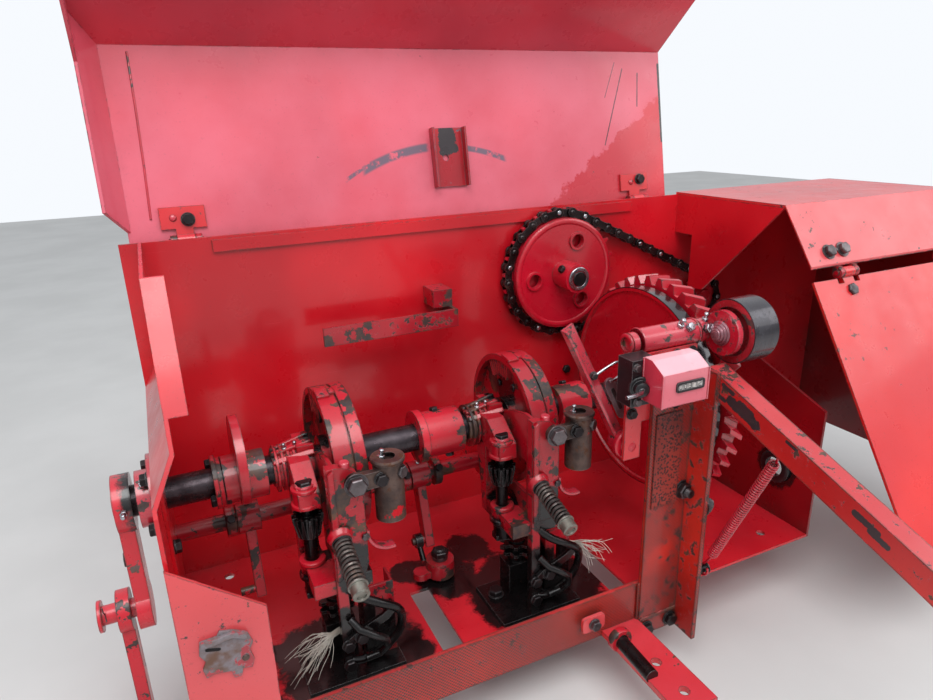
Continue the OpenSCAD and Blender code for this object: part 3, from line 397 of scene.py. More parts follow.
# Black grease in the discs' hollows, round the billhooks and low on the front plates
KNOT_GREASE = [((k + x, y, z), radius, soft) for k in KNOTS for x, y, z, radius, soft in (
    (4, 6, 34, 30, 22), (-35, -60, -50, 26, 16), (-30, -60, -128, 34, 22), (4, -108, -96, 26, 18),
    (26, -64, -190, 52, 34), (-14, -108, -165, 34, 18), (-14, -108, -215, 34, 18), (-62, 8, 12, 12, 10),
    (50, -90, 10, 8, 8), (2, -106, -74, 24, 20), (-20, -40, -110, 30, 22))]
HOOD_RINGS = [(hood_at(448, -170), *row) for row in (
    (274, 8, 322, 432), (277, 3.5, 296, 330), (273, 5.5, 486, 560))]
HOOD_MARKS = [(hood_at(*a), hood_at(*b), width) for a, b, width in (
    ((790, 215), (747, 94), 0.9), ((821, 208), (817, 155), 1.1), ((775, 225), (752, 170), 0.6),
    ((866, 96), (865, 222), 2.4))]
CHANNEL_MARKS = [(hood_at(459, 120, -6.5), hood_at(459, 104, -6.5), 15),
                 (hood_at(452, 96, -6.5), hood_at(470, 100, -6.5), 7)]
STAY_A = math.radians(19.7)
STAY_DOWN = Vector((0, -math.cos(STAY_A), -math.sin(STAY_A)))
STAY_TOP = Vector((615, -184, 80))


def on_stay(reach, up):
    return tuple(STAY_TOP + STAY_DOWN * reach + Vector((0, 0, up)))


STAY_MARKS = [(on_stay(a, up), on_stay(b, up), width) for a, b, up, width in (
    (34, 74, -2, 7), (48, 66, 4, 5), (20, 36, 9, 3), (212, 238, 3, 4), (230, 250, -1, 3.5), (8, 24, -8, 3),
    (120, 132, 11, 2))]
M = {
    "sheet": painted("red_sheet", (216, 22, 36), (186, 12, 28), chips=0.12, dirt_and_shade=0.45, grease=FLOOR_GREASE,
                     scratches=0.2, fade_and_sheen=0.06),
    # The hood's sheen rows paint the sky's reflection on its panel, flanges and lip as pale pink
    "hood": painted("red_hood", (212, 24, 40), (186, 16, 34), chips=0.12, dirt_and_shade=0.3, scratches=0.4, rough=0.24,
                    sheen=[(HOOD_N, 0.56), ((-1, 0, 0), 0.45), ((0.9, -0.3, 0), 0.5),
                           ((0, -0.6, -0.8), 0.26)],
                    chalk_and_sheen=(238, 134, 156), marks=HOOD_MARKS, rings=HOOD_RINGS, marked_side=HOOD_N,
                    gloss_beyond=(hood_at(740, 83), (0.583, -0.141, -0.802))),
    "channel": painted("channel_paint", (196, 20, 38), (158, 12, 28), bare=(108, 92, 104), chips=0.6,
                       dirt_and_shade=0.6, fade_and_sheen=0.3, marks=CHANNEL_MARKS),
    # A faint painted sky reflection on faces turned to the front
    "plate": painted("red_plate", (222, 38, 42), (200, 26, 34), chips=0.55, dirt_and_shade=0.4, fade_and_sheen=0.2,
                     sheen=[((0, -1, 0.2), 0.06)]),
    # Fade plus a painted sky reflection, pale pink, on faces turned to the front
    "pink_plate": painted("faded_plate_with_sheen", (220, 44, 46), (202, 30, 34), chips=0.6, dirt_and_shade=0.45, fade_and_sheen=0.28,
                          sheen=[((0, -1, 0.1), 0.24)], chalk_and_sheen=(238, 150, 158)),
    "door": painted("door_paint", (228, 42, 34), (206, 28, 30), bare=(104, 62, 56), chips=0.5, dirt_and_shade=0.4,
                    fade_and_sheen=0.14, coat=0.3, scratches=0.3, edge_w=0.003),
    # The red sheet painted darker for the walls deep in the bay: painted shade
    "shaded_wall": painted("shaded_wall", (150, 12, 22), (112, 8, 16), chips=0.3, dirt_and_shade=0.8, fade_and_sheen=0.05,
                         grease=[((877, -80, -150), 40, 22)]),
    "cast": painted("red_casting", (206, 15, 40), (164, 9, 28), bare=(34, 28, 31), chips=0.95, dirt_and_shade=1.0,
                    fade_and_sheen=0.05, grease=KNOT_GREASE, patches=1.0, soften=0.0022, coat=0.3),
    "gloss_cast": painted("glossy_casting", (208, 18, 46), (180, 12, 34), chips=0.3, fade_and_sheen=0.08, soften=0.002,
                          rough=0.24, coat=0.6),
    "drum": painted("drum_paint", (212, 20, 42), (184, 12, 32), chips=0.35, fade_and_sheen=0.1, scratches=0.4,
                    band=(0, 0, 148.6, (58, 54, 58)), soften=0.001, rough=0.24, coat=0.9),
    # Fade plus a painted sky reflection on faces turned to the front
    "cast_pink": painted("faded_casting_with_sheen", (212, 32, 56), (184, 18, 40), chips=0.9, dirt_and_shade=0.7, fade_and_sheen=0.22,
                         patches=0.55, sheen=[((0, -1, 0.3), 0.2)], soften=0.002, rough=0.26, coat=0.8),
    "crank": painted("crank_paint", (214, 24, 46), (186, 14, 34), bare=(96, 84, 80), chips=0.8, fade_and_sheen=0.15,
                     patches=0.45, soften=0.003, rough=0.28, coat=0.4, grease=[((-30, 0, 0), 34, 8)]),
    "beam": painted("orange_beam", (204, 40, 26), (168, 26, 18), bare=(62, 40, 36), chips=0.85, dirt_and_shade=0.7,
                    pits=0.35, fade_and_sheen=0.16, rough=0.36, edge_w=0.006, dots=1.0, coat=0.25),
    "stay_paint": painted("stay_paint", (212, 44, 36), (184, 28, 28), bare=(58, 44, 44), chips=1.0, dirt_and_shade=0.6,
                          fade_and_sheen=0.16, rough=0.34, edge_w=0.005, coat=0.3, marks=STAY_MARKS),
    "grip": painted("anti_slip", (158, 48, 36), (104, 34, 28), bare=(40, 24, 24), chips=0.5, dirt_and_shade=1.0,
                    grit=0.95, fade_and_sheen=0.0, rough=0.6, coat=0.1, soften=0.0),
    "worn": painted("worn_red", (196, 16, 38), (150, 10, 28), chips=1.0, dirt_and_shade=0.9, patches=1.0, fade_and_sheen=0.08,
                    coat=0.5, rough=0.28),
    # Painted sky reflection: the box's top is paled near white and its front pink
    "counter": painted("counter_paint", (222, 74, 92), (206, 52, 72), chips=0.1, dirt_and_shade=0.35, fade_and_sheen=0.9,
                       sheen=[((0, -0.45, 0.9), 0.8), ((0, -1, 0.1), 0.28)], chalk_and_sheen=(250, 196, 206),
                       soften=0.003, coat=0.8),
    "latch": painted("latch_rest", (198, 62, 70), (150, 42, 52), bare=(124, 116, 122), chips=1.5, dirt_and_shade=1.0,
                     patches=1.3, fade_and_sheen=0.3, rough=0.42),
    "roller": painted("roller_paint", (206, 50, 60), (150, 24, 36), bare=(60, 56, 60), chips=0.6, dirt_and_shade=0.7,
                      patches=0.5, band=(ROL_Y, ROL_Z, 38.6, (74, 72, 78)), soften=0.0015, rough=0.24),
    "rust": metal("rusty_steel", (112, 90, 82), (60, 48, 46), rust=0.6, metallic=0.6, paint=0.28,
                  grease=0.25),
    "spring": metal("spring_steel", (108, 98, 92), (52, 44, 44), rust=0.35, rough=0.36, metallic=0.8,
                    grease=0.25),
    "steel": metal("dark_shaft", (84, 76, 80), (48, 42, 46), rust=0.2, rough=0.28, streak=(40, 1, 1),
                   grease=0.15),
    "bolt": metal("bolt_steel", (112, 104, 106), (54, 48, 50), rough=0.34),
    "dark_bolt": metal("dark_bolt", (52, 46, 48), (30, 26, 28), rust=0.25, rough=0.36, metallic=0.7),
    "bright": metal("bright_steel", (196, 198, 204), (140, 140, 146), rust=0.02, rough=0.2, metallic=0.95),
    "cap": metal("dull_cap", (150, 148, 138), (104, 98, 90), rust=0.25, rough=0.38, metallic=0.75),
    "oily": metal("oiled_steel", (40, 34, 36), (20, 16, 18), rust=0.05, rough=0.24, metallic=0.75,
                  grease=0.3),
    "link": metal("chain_steel", (66, 56, 56), (30, 24, 26), rust=0.2, rough=0.26, grease=0.2),
    "grease": metal("greased_black", (22, 17, 18), (11, 9, 10), rust=0.0, rough=0.22, metallic=0.2,
                    grease=0.4),
    "turned": metal("turned_nut", (176, 130, 138), (120, 60, 72), rust=0.1, rough=0.28, metallic=0.6,
                    paint=0.25, paint_colour=(206, 70, 88), rings=(ROL_Y, ROL_Z)),
    "zinc": metal("zinc_plate", (150, 138, 142), (120, 92, 98), rust=0.1, rough=0.4, metallic=0.7, paint=0.35,
                  paint_colour=(200, 60, 72)),
    "plastic": metal("black_plastic", (24, 23, 26), (15, 14, 17), rust=0.0, rough=0.34, metallic=0.0,
                     specks=0.1),
    "dial": metal("dial_white", (214, 208, 204), (186, 178, 172), rust=0.0, rough=0.4, metallic=0.0,
                  specks=0.1),
    "digit": metal("dial_black", (20, 19, 20), (12, 12, 13), rust=0.0, rough=0.4, metallic=0.0, specks=0.0),
    "twine": metal("frayed_twine", (206, 200, 188), (150, 138, 122), rust=0.0, rough=0.9, metallic=0.0,
                   specks=0.5, soften=0.0),
}

# The CAD nodes that each look is given to
NODE_LOOKS = {
    "sheet": "floor_plate back_wall left_wall left_doubler gusset",
    "worn": "wall_bracket finger_cam",
    # The walls deep in the bay get the red painted darker, as painted shade
    "shaded_wall": "right_wall end_wall",
    "pink_plate": "bay_cover corner_plate",
    "plate": "lower_rail hinge_eyes counter_plate",
    "door": "bay_door",
    "stay_paint": "stay_bar",
    "hood": "hood",
    "channel": "hood_channel",
    "beam": "front_beam post",
    "grip": "grip_strip",
    "bolt": "bell_pin",
    "cast_pink": "bearing_left pivot_tube roller_arm trip_arm",
    "cast": "hinge_pins door_pins bearing_right cross_bearing collars knotter_disc_1 knotter_disc_2 "
            "finger_levers bell_crank knotter_frame_1 knotter_frame_2 guide_channels drive_link stay_spring "
            "finger_shaft",
    "steel": "knotter_shaft",
    "drum": "brake_drum",
    "gloss_cast": "gear_ring sprockets",
    "crank": "crank_arm",
    "rust": "clamp_yoke_1 clamp_yoke_2 spring_bolt_1 spring_bolt_2",
    "oily": "billhook_1 billhook_2",
    "grease": "twine_holder_1 twine_holder_2 chute_plates ball_link",
    "link": "chain",
    "roller": "trip_roller",
    "plastic": "counter_body",
    "counter": "counter_box",
}
for look, names in NODE_LOOKS.items():
    for name in names.split():
        mesh = nodes[name].data
        mesh.materials.clear()
        mesh.materials.append(M[look])


# Forms, in millimetres
def ring(radius, n, z=0.0, start=0.0):
    return [(radius * math.cos(start + math.tau * i / n), radius * math.sin(start + math.tau * i / n), z)
            for i in range(n)]


def lathe(rows, n=28, start=0.0):
    """Turned about local Z from rows of (height, radius), closed on itself if the last row is the first."""
    closed = rows[0] == rows[-1]
    rows = rows[:-1] if closed else rows
    verts, faces, loops = [], [], []
    for z, r in rows:
        if r < 1e-6:
            loops.append([len(verts)])
            verts.append((0.0, 0.0, z))
        else:
            loops.append(list(range(len(verts), len(verts) + n)))
            verts += ring(r, n, z, start)
    pairs = list(zip(loops, loops[1:])) + ([(loops[-1], loops[0])] if closed else [])
    for a, b in pairs:
        for i in range(n):
            j = (i + 1) % n
            if len(a) == 1 and len(b) > 1:
                faces.append((a[0], b[i], b[j]))
            elif len(b) == 1 and len(a) > 1:
                faces.append((a[i], b[0], a[j]))
            elif len(a) > 1:
                faces.append((a[i], b[i], b[j], a[j]))
    if not closed:
        for loop in (loops[0], loops[-1]):
            if len(loop) > 1:
                faces.append(tuple(loop))
    return verts, faces


def prism(outline, z0, z1):
    n = len(outline)
    verts = [(x, y, z0) for x, y in outline] + [(x, y, z1) for x, y in outline]
    faces = [tuple(range(n))[::-1], tuple(range(n, 2 * n))]
    faces += [(i, (i + 1) % n, (i + 1) % n + n, i + n) for i in range(n)]
    return verts, faces


def tube(points, radius, n=10, taper=None):
    """A round bar along points, carried without twist. taper gives a radius factor along it."""
    pts = [Vector(p) for p in points]
    last = len(pts) - 1
    verts, faces = [], []
    side = None
    for k, p in enumerate(pts):
        along = (pts[min(k + 1, last)] - pts[max(k - 1, 0)]).normalized()
        if side is None:
            side = along.orthogonal().normalized()
        side = (side - along * side.dot(along)).normalized()
        other = along.cross(side)
        r = radius * (taper(k / last) if taper else 1.0)
        verts += [tuple(p + side * u + other * v) for u, v, _ in ring(r, n)]
    for a in range(0, last * n, n):
        faces += [(a + i, a + (i + 1) % n, a + n + (i + 1) % n, a + n + i) for i in range(n)]
    faces += [tuple(range(n))[::-1], tuple(range(last * n, (last + 1) * n))]
    return verts, faces


def coil(radius, pitch, turns, wire, per_turn=20, n=8, dead=0.75):
    """A helical spring about local Z, its end turns wound flat."""
    points = []
    total = int((turns + 2 * dead) * per_turn)
    for i in range(total + 1):
        t = i / per_turn
        rise = min(max(t - dead, 0.0), turns) * pitch
        flat = wire * (min(t, dead) + max(t - dead - turns, 0.0))
        points.append((radius * math.cos(math.tau * t), radius * math.sin(math.tau * t), rise + flat))
    return tube(points, wire / 2, n)


def arc(cx, cy, r, a0, a1, n):
    return [(cx + r * math.cos(math.radians(a0 + (a1 - a0) * i / n)),
             cy + r * math.sin(math.radians(a0 + (a1 - a0) * i / n))) for i in range(n + 1)]


def slot_shape(length, width, n=8):
    h = (length - width) / 2
    return arc(h, 0, width / 2, -90, 90, n) + arc(-h, 0, width / 2, 90, 270, n)


def rounded(w, h, r, n=4):
    x, y = w / 2 - r, h / 2 - r
    corners = ((x, y, 0), (-x, y, 90), (-x, -y, 180), (x, -y, 270))
    return [point for cx, cy, a in corners for point in arc(cx, cy, r, a, a + 90, n)]


def join(*forms):
    verts, faces = [], []
    for v, f in forms:
        faces += [tuple(i + len(verts) for i in face) for face in f]
        verts += v
    return verts, faces


def moved(form, offset):
    return [tuple(Vector(v) + Vector(offset)) for v in form[0]], form[1]


WASHER_T = 1.6


def flat_washer(radius):
    return lathe([(0, 0), (0, radius - 0.4), (0.4, radius), (WASHER_T, radius), (WASHER_T, 0)], 32)


def hex_head(across, height, washer=0.0):
    """Bolt head on local Z with a chamfered top, and a washer under it."""
    r = across / math.sqrt(3)
    forms = []
    base = 0.0
    if washer:
        base = WASHER_T
        forms.append(flat_washer(washer))
    forms.append(lathe([(base, 0), (base, r), (base + height * 0.82, r), (base + height, r * 0.86),
                        (base + height, 0)], 6, 0.3))
    return join(*forms)


def nut_on_stud(across, height, stud, proud, washer=0.0):
    r = across / math.sqrt(3)
    base = WASHER_T if washer else 0.0
    top = base + height
    forms = [lathe([(base, 0), (base, r * 0.9), (base + height * 0.14, r), (base + height * 0.86, r),
                    (top, r * 0.88), (top, stud), (top, 0)], 6, 0.1)]
    if washer:
        forms.append(flat_washer(washer))
    threads = [(top - 0.5, 0), (top - 0.5, stud)]
    steps = max(3, int(proud / 0.8))
    for i in range(steps):
        z = top + proud * i / steps
        threads += [(z, stud), (z + proud / steps * 0.5, stud * 0.9)]
    threads += [(top + proud, stud * 0.85), (top + proud + 0.6, 0)]
    forms.append(lathe(threads, 20))
    return join(*forms)


def nipple(scale=1.0):
    """Grease nipple: hexagon, cone, neck and ball."""
    s = scale
    hexagon = lathe([(0, 0), (0, 4.6 * s), (4 * s, 4.6 * s), (4.6 * s, 4.1 * s), (4.6 * s, 0)], 6)
    neck = lathe([(4 * s, 0), (4 * s, 3.2 * s), (8 * s, 2.2 * s), (9 * s, 2.0 * s), (9.8 * s, 3.0 * s),
                  (11.4 * s, 3.3 * s), (12.6 * s, 2.6 * s), (13.2 * s, 1.2 * s), (12.9 * s, 0)], 20)
    return join(hexagon, neck)


def cotter(width):
    """Split pin through a round part along local X, its legs spread."""
    h = width / 2
    eye = [(x - h - 3, y, 0) for x, y, _ in ring(3, 12)[1:]]
    upper = [(-h, 0.8, 0), (h, 0.8, 0), (h + 5, 3.5, 1.0), (h + 9, 7.5, 2.0)]
    lower = [(-h, -0.8, 0), (h, -0.8, 0), (h + 4, -3.5, -1.0), (h + 6, -8.5, -1.5)]
    return join(*(tube(path, 0.7, 8) for path in (upper, lower, eye)))


def at(origin, z=(0, 0, 1), x=None):
    """Places a form: its local Z along z, its local X near x."""
    z = Vector(z).normalized()
    x = Vector(x) if x else z.orthogonal()
    x = (x - z * x.dot(z)).normalized()
    y = z.cross(x)
    return Matrix.Translation(Vector(origin)) @ Matrix((x, y, z)).transposed().to_4x4()


def show(name, data):
    obj = bpy.data.objects.new(name, data)
    scene.collection.objects.link(obj)
    return obj


class Piece:
    """One named piece of one CAD body, its forms gathered in the shaft frame in millimetres."""

    def __init__(self, name, body, *looks, bevel=0.0, smooth=38):
        self.name, self.body, self.looks = name, body, looks
        self.bevel, self.smooth = bevel, smooth
        self.verts, self.faces, self.slots = [], [], []

    def add(self, form, place=None, look=0):
        base = len(self.verts)
        place = place or Matrix.Identity(4)
        self.verts += [P(*(place @ Vector(v))) for v in form[0]]
        self.faces += [[i + base for i in face] for face in form[1]]
        self.slots += [look] * len(form[1])

    def make(self, *nodes_replaced):
        mesh = bpy.data.meshes.new(self.name)
        mesh.from_pydata(self.verts, [], self.faces)
        for look in self.looks:
            mesh.materials.append(M[look])
        mesh.polygons.foreach_set("material_index", self.slots)
        bm = bmesh.new()
        bm.from_mesh(mesh)
        bmesh.ops.recalc_face_normals(bm, faces=bm.faces)
        bm.to_mesh(mesh)
        bm.free()
        mesh.polygons.foreach_set("use_smooth", [True] * len(mesh.polygons))
        mesh.set_sharp_from_angle(angle=math.radians(self.smooth))
        obj = show(self.name, mesh)
        if self.bevel:
            mod = obj.modifiers.new("edges", "BEVEL")
            mod.width = self.bevel * MM
            mod.segments = 2
            mod.limit_method = "ANGLE"
            mod.angle_limit = math.radians(40)
        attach(obj, self.body)
        if nodes_replaced:
            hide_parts(*nodes_replaced)


# Places in the shaft frame, in millimetres
SPR_X, SPR_Z = 629, 144
CHAIN_P, BIG_N, SMALL_N, CHAIN_LINKS, CHAIN_TILT = 25.4, 24, 9, 42, math.radians(-15)
CHAIN_Y0, CHAIN_Y1 = 170, 186
RING_X, RING_W, RING_R, RING_ROOT, RING_TEETH = 677, 24, 164, 152, 40
SHAFT_R = 17.5
CRANK_X, CRANK_L, ARM_T = -31.5, 134, 16
POST_X0, POST_X1 = 548, 615
CROSS_Y, CROSS_Z = 64, -92
TUBE_Y, TUBE_Z = -138, 130

# Knotters
LUG_TILT = math.radians(108)
LUG_DIR = Vector((0, -math.sin(LUG_TILT), math.cos(LUG_TILT)))
COIL_N, COIL_P, COIL_WIRE, SPRING_L = 9, 5.4, 4.6, 60
for i, k in enumerate(KNOTS):
    lug = Vector((k - 11, -104, -40)) + LUG_DIR * 14
    axis = at(lug, LUG_DIR, X)
    spring = Piece(f"tension_spring_{i + 1}", "housing", "spring", "cap", "dark_bolt")
    spring.add(coil(8.2, COIL_P, COIL_N, COIL_WIRE), axis @ Matrix.Translation((0, 0, 2.6)))
    spring.add(lathe([(-1, 0), (-1, 6), (SPRING_L + 2, 6), (SPRING_L + 2, 0)], 20), axis, 2)
    spring.add(lathe([(0.2, 6), (0.2, 11.2), (1.8, 11.2), (1.8, 6)], 28), axis, 2)
    cap = ((-2.2, 0), (-2.2, 11), (-0.6, 11), (-0.4, 9.2), (10.6, 9.4), (11.8, 8.2), (11.8, 5.4), (9.8, 5.0),
           (9.8, 0))
    spring.add(lathe([(SPRING_L + z, r) for z, r in cap], 32), axis, 1)
    spring.make(f"spring_bolt_{i + 1}")

    small = Piece(f"frame_fasteners_{i + 1}", "housing", "bolt", "bright", "dark_bolt", "rust", "cast_pink",
                  bevel=0.3)
    boss = at((k - 35, -60, 0))
    small.add(hex_head(19, 8, 13.5), at((k + 10, -118, 21), -Y))
    small.add(nipple(0.95), at((k + 44, -101, 36), (0.12, -0.1, 1)), 1)
    small.add(lathe([(35.5, 8.6), (35.5, 19), (38.5, 19.6), (40.5, 18.4), (40.5, 8.6), (35.5, 8.6)], 36),
              at((k + 50, -106, 0)), 3)
    # Low, so that it stays clear of the trip arm's swing
    small.add(hex_head(13, 5, 8.5), at((k + 60, -116, 24), (0.5, -0.87, 0)))
    small.add(hex_head(13, 5.5, 8.5), at((k + 38, -118, 21), -Y), 2)
    # Round pin on the plate's top, and two small nipples on the finned block
    small.add(lathe([(0, 0), (0, 6), (6, 6), (7.4, 4.8), (7.4, 0)], 20), at((k + 2, -104, 37)), 4)
    for x, tilt in ((k - 44, -0.15), (k - 33, 0.1)):
        small.add(nipple(0.72), at((x, -8, 26.5), (tilt, -0.35, 1)), 1)
    # Rings at both ends of the billhook's spindle boss, and a nut on its top
    small.add(lathe([(2, 8.2), (2, 11.5), (4.4, 11.2), (5, 9.4), (5, 8.2), (2, 8.2)], 28), boss, 4)
    small.add(hex_head(17, 7, 0), at((k - 35, -60, 2.2)), 2)
    small.add(lathe([(-121.6, 8.2), (-121.6, 12.8), (-118.8, 13.2), (-116.2, 13.2), (-116.2, 8.2),
                     (-121.6, 8.2)], 28), boss, 2)
    # Two screws that hold the front plate's leg
    for z in (-186, -214):
        small.add(hex_head(13, 5, 8), at((k - 14, -112, z), -Y), 2)
    small.make()

    # Ribs along the sleeve that rise to the disc, and beads where the bosses meet the spine
    ribs = Piece(f"casting_ribs_{i + 1}", "housing", "cast", bevel=1.2)
    for a in (80, 108, 136):
        c, s = circle(1, a)
        ribs.add(prism([(-60, 20), (-13, 20), (-13, 36), (-20, 35.5), (-42, 30), (-60, 25)], -3.4, 3.4),
                 at((k, 0, 0), Vector((0, -s, c)), X))
    for z0, z1, r in ((-22.5, -17, 16.5), (-3.5, 2.2, 15.6), (-116.5, -110, 16.8), (-98, -91.6, 15.6)):
        ribs.add(lathe([(z0, 8.4), (z0, r - 1), (z0 + 1.2, r), (z1 - 1.2, r), (z1, r - 1), (z1, 8.4),
                        (z0, 8.4)], 32), boss)
    ribs.add(prism([(-19, 36), (-12, 41), (-12, -94), (-19, -98)], 0, 5), at((k, -110, 0), -Y, X))
    lug_base = at((k - 11, -109.5, -41), LUG_DIR, X)
    ribs.add(lathe([(0, 0), (0, 15), (4, 13.5), (8, 11.4), (8, 0)], 32), lug_base)
    ribs.make()

    # Lug on the disc's rim and the heads that hold the gear segment
    lugs = Piece(f"disc_lugs_{i + 1}", "shaft", "cast", "dark_bolt", bevel=0.8)
    for a0, a1, x0, x1 in ((58, 72, -3, 12), (61, 69, 12, 19)):
        shell, core = [[circle(r, 32 + a0 + (a1 - a0) * t / 6) for t in range(7)] for r in (91.6, 86)]
        lugs.add(prism(shell + core[::-1], x0, x1), at((k, 0, 0), X, Y))
    for a in (56, 106):
        lugs.add(hex_head(10, 2.2, 0), at((k + 8, *circle(48, a)), -X), 1)
    lugs.make()

    # Curved bracket riveted to the edge of the front plate
    inner = arc(8, 0, 24, 172, 282, 10)
    outer = arc(8, 0, 27.4, 282, 172, 10)
    strap = Piece(f"plate_strap_{i + 1}", "housing", "cast_pink", "bolt", bevel=0.4)
    strap.add(prism(inner + outer, 0, 13), at((k + 38, -98.5, -47), -Y, X))
    strap.add(hex_head(8, 3.5, 0), at((k + 17, -110, -50), -Y), 1)
    strap.make()

    # Black bent rods and knife arm below the front plate
    rods = Piece(f"twine_arm_{i + 1}", "housing", "grease", "dark_bolt", bevel=0.5)
    bow = [(k + x, y, z) for x, y, z in (
        (-8, -108, -112), (6, -116, -124), (26, -120, -136), (44, -118, -150), (52, -112, -168),
        (50, -108, -190), (38, -106, -206), (18, -108, -214), (0, -110, -214), (-12, -110, -210))]
    smooth = []
    for a in range(len(bow) - 1):
        p0, p1 = Vector(bow[max(a - 1, 0)]), Vector(bow[a])
        p2, p3 = Vector(bow[a + 1]), Vector(bow[min(a + 2, len(bow) - 1)])
        for s in range(5):
            t = s / 5
            smooth.append(tuple(0.5 * (2 * p1 + (p2 - p0) * t + (2 * p0 - 5 * p1 + 4 * p2 - p3) * t * t
                                       + (3 * p1 - p0 - 3 * p2 + p3) * t ** 3)))
    smooth.append(bow[-1])
    rods.add(tube(smooth, 5.2, 14))
    low = ((-10, -114, -150), (-2, -124, -160), (12, -130, -168), (26, -128, -180), (30, -122, -196),
           (22, -116, -208), (6, -113, -212))
    rods.add(tube([(k + x, y, z) for x, y, z in low], 4.6, 12))
    knife = [(-6, 0), (10, 4), (44, 6), (60, 14), (58, 22), (40, 16), (8, 14), (-6, 10)]
    rods.add(prism(knife, 0, 5), at((k - 6, -113, -182), -Y, (0.95, 0, 0.3)))
    rods.add(hex_head(13, 6, 9), at((k + 1, -118, -174), -Y), 1)
    rods.add(hex_head(17, 8, 11), at((k + 18, -87, -232), Z), 1)
    rods.add(hex_head(17, 8, 11), at((k - 46, -60, -232), Z), 1)
    rods.make()

TUFTS = [("twine_end_1", (152, -88, -186), (-0.92, -0.35, -0.05), 46, 44),
         ("twine_end_2", (480, -104, -152), (0.55, -0.55, 0.1), 22, 40)]
for name, place, lean, strands, length in TUFTS:
    tuft = Piece(name, "housing", "twine", smooth=180)
    lean = Vector(lean).normalized()
    for s in range(strands):
        off = Vector((random.uniform(-1, 1), random.uniform(-1, 1), random.uniform(-1, 1)))
        wave = random.uniform(0, math.tau)
        reach = length * random.uniform(0.55, 1.0)
        path = []
        for j in range(-3, 9):
            t = j / 8
            free = max(t, 0)
            sway = Vector((math.sin(wave + 5 * t), math.cos(wave + 4 * t), math.sin(wave - 6 * t)))
            path.append(tuple(Vector(place) + lean * (reach * t) + off * (2.4 + 15 * free)
                              + Vector((0, 0, -12 * free ** 2)) + sway * (4.6 * free)))
        tuft.add(tube(path, 0.5, 5, taper=lambda t: 1.0 - 0.5 * t))
    tuft.make()

# Shaft: crank, flange collar, cam
shaft = Piece("shaft_fasteners", "shaft", "bolt", "dark_bolt", "bright", "cast_pink", bevel=0.3)
for a in (40, 220):
    y, z = circle(22.5, a)
    shaft.add(hex_head(13, 6, 0), at((54, y, z), -X), 1)
    shaft.add(nut_on_stud(13, 6, 4, 4), at((64, y, z), X))
for x, a in ((88, 60), (330, 80), (344, 250), (530, 70)):
    r = 28 if x == 88 else 30 if x < 400 else 28
    y, z = circle(r, a)
    if x != 88:
        shaft.add(hex_head(10, 5, 0), at((x, y * 0.97, z * 0.97), (0, y, z)), 1)
shaft.add(lathe([(-0.5, 0), (-0.5, 16.5), (1, 17), (2.2, 15.5), (2.2, 6), (1.2, 5), (1.2, 0)], 40),
          at((CRANK_X - ARM_T, 0, 0), -X), 3)
pin_end = CRANK_X - ARM_T - 40
shaft.add(cotter(26), at((pin_end + 8, -1, -CRANK_L), (1, 0, 0), (0, -0.8, 0.6)), 0)
shaft.add(nipple(0.9), at((-38, -31.6, 4), (0, -1, 0.1)), 2)
# Low, since the drive link swings past it with 6 mm to spare
shaft.add(hex_head(16, 3.2, 0), at((CRANK_X - ARM_T, 0, -70), -X), 1)
shaft.make()

hub = Piece("bearing_fasteners", "housing", "dark_bolt", "bright", bevel=0.3)
for a in (35, 125, 215, 305):
    hub.add(hex_head(13, 6, 8), at((-10, *circle(40, a)), -X))
hub.add(nipple(0.9), at((-16, -20, 26), (0, -0.6, 0.8)), 1)
hub.make()

# Cross shaft, levers and bell crank
fingers = Piece("finger_details", "fingers", "dark_bolt", "bright", "cast", bevel=0.3)
for x0, x1, r in ((62, 75, 20), (296, 309, 20), (345, 356, 21)):
    w = x1 - x0
    fingers.add(lathe([(0, 11), (0, r - 1), (1, r), (w - 1, r), (w, r - 1), (w, 11), (0, 11)], 32),
                at((x0, CROSS_Y, CROSS_Z), X), 2)
    spot = (x0 + w / 2, CROSS_Y - r * 0.8, CROSS_Z + r * 0.55)
    fingers.add(hex_head(10, 6, 0), at(spot, (0, -0.8, 0.55)))
for x in (84, 318):
    fingers.add(nipple(0.8), at((x + 6, CROSS_Y - 3, CROSS_Z + 19.4), (0, -0.1, 1)), 1)
fingers.make()

bell = Piece("bell_details", "housing", "dark_bolt", "bolt", bevel=0.3)
bell.add(nut_on_stud(22, 9, 7, 3), at((334, 16, -201), Z))
bell.make()

# Roller chain over the CAD one's pitch line
BIG_R, SMALL_R = BIG_N * CHAIN_P / math.tau, SMALL_N * CHAIN_P / math.tau
centres = 300.0
for _ in range(12):
    wrap = math.asin((BIG_R - SMALL_R) / centres)
    wound = BIG_R * (math.pi + 2 * wrap) + SMALL_R * (math.pi - 2 * wrap)
    centres = (CHAIN_LINKS * CHAIN_P - wound) / (2 * math.cos(wrap))
wrap = math.asin((BIG_R - SMALL_R) / centres)
BIG_L, SMALL_L = BIG_R * (math.pi + 2 * wrap), SMALL_R * (math.pi - 2 * wrap)
RUN_L = centres * math.cos(wrap)


def on_loop(s):
    if s < BIG_L:
        a = math.pi / 2 - wrap + s / BIG_R
        return BIG_R * math.cos(a), BIG_R * math.sin(a)
    if s < BIG_L + RUN_L:
        a = math.pi * 1.5 + wrap
        t = s - BIG_L
        return BIG_R * math.cos(a) + t * math.cos(wrap), BIG_R * math.sin(a) + t * math.sin(wrap)
    if s < BIG_L + RUN_L + SMALL_L:
        a = wrap - math.pi / 2 + (s - BIG_L - RUN_L) / SMALL_R
        return centres + SMALL_R * math.cos(a), SMALL_R * math.sin(a)
    a = math.pi / 2 - wrap
    t = s - BIG_L - RUN_L - SMALL_L
    return (centres + SMALL_R * math.cos(a) - t * math.cos(wrap), SMALL_R * math.sin(a) + t * math.sin(wrap))


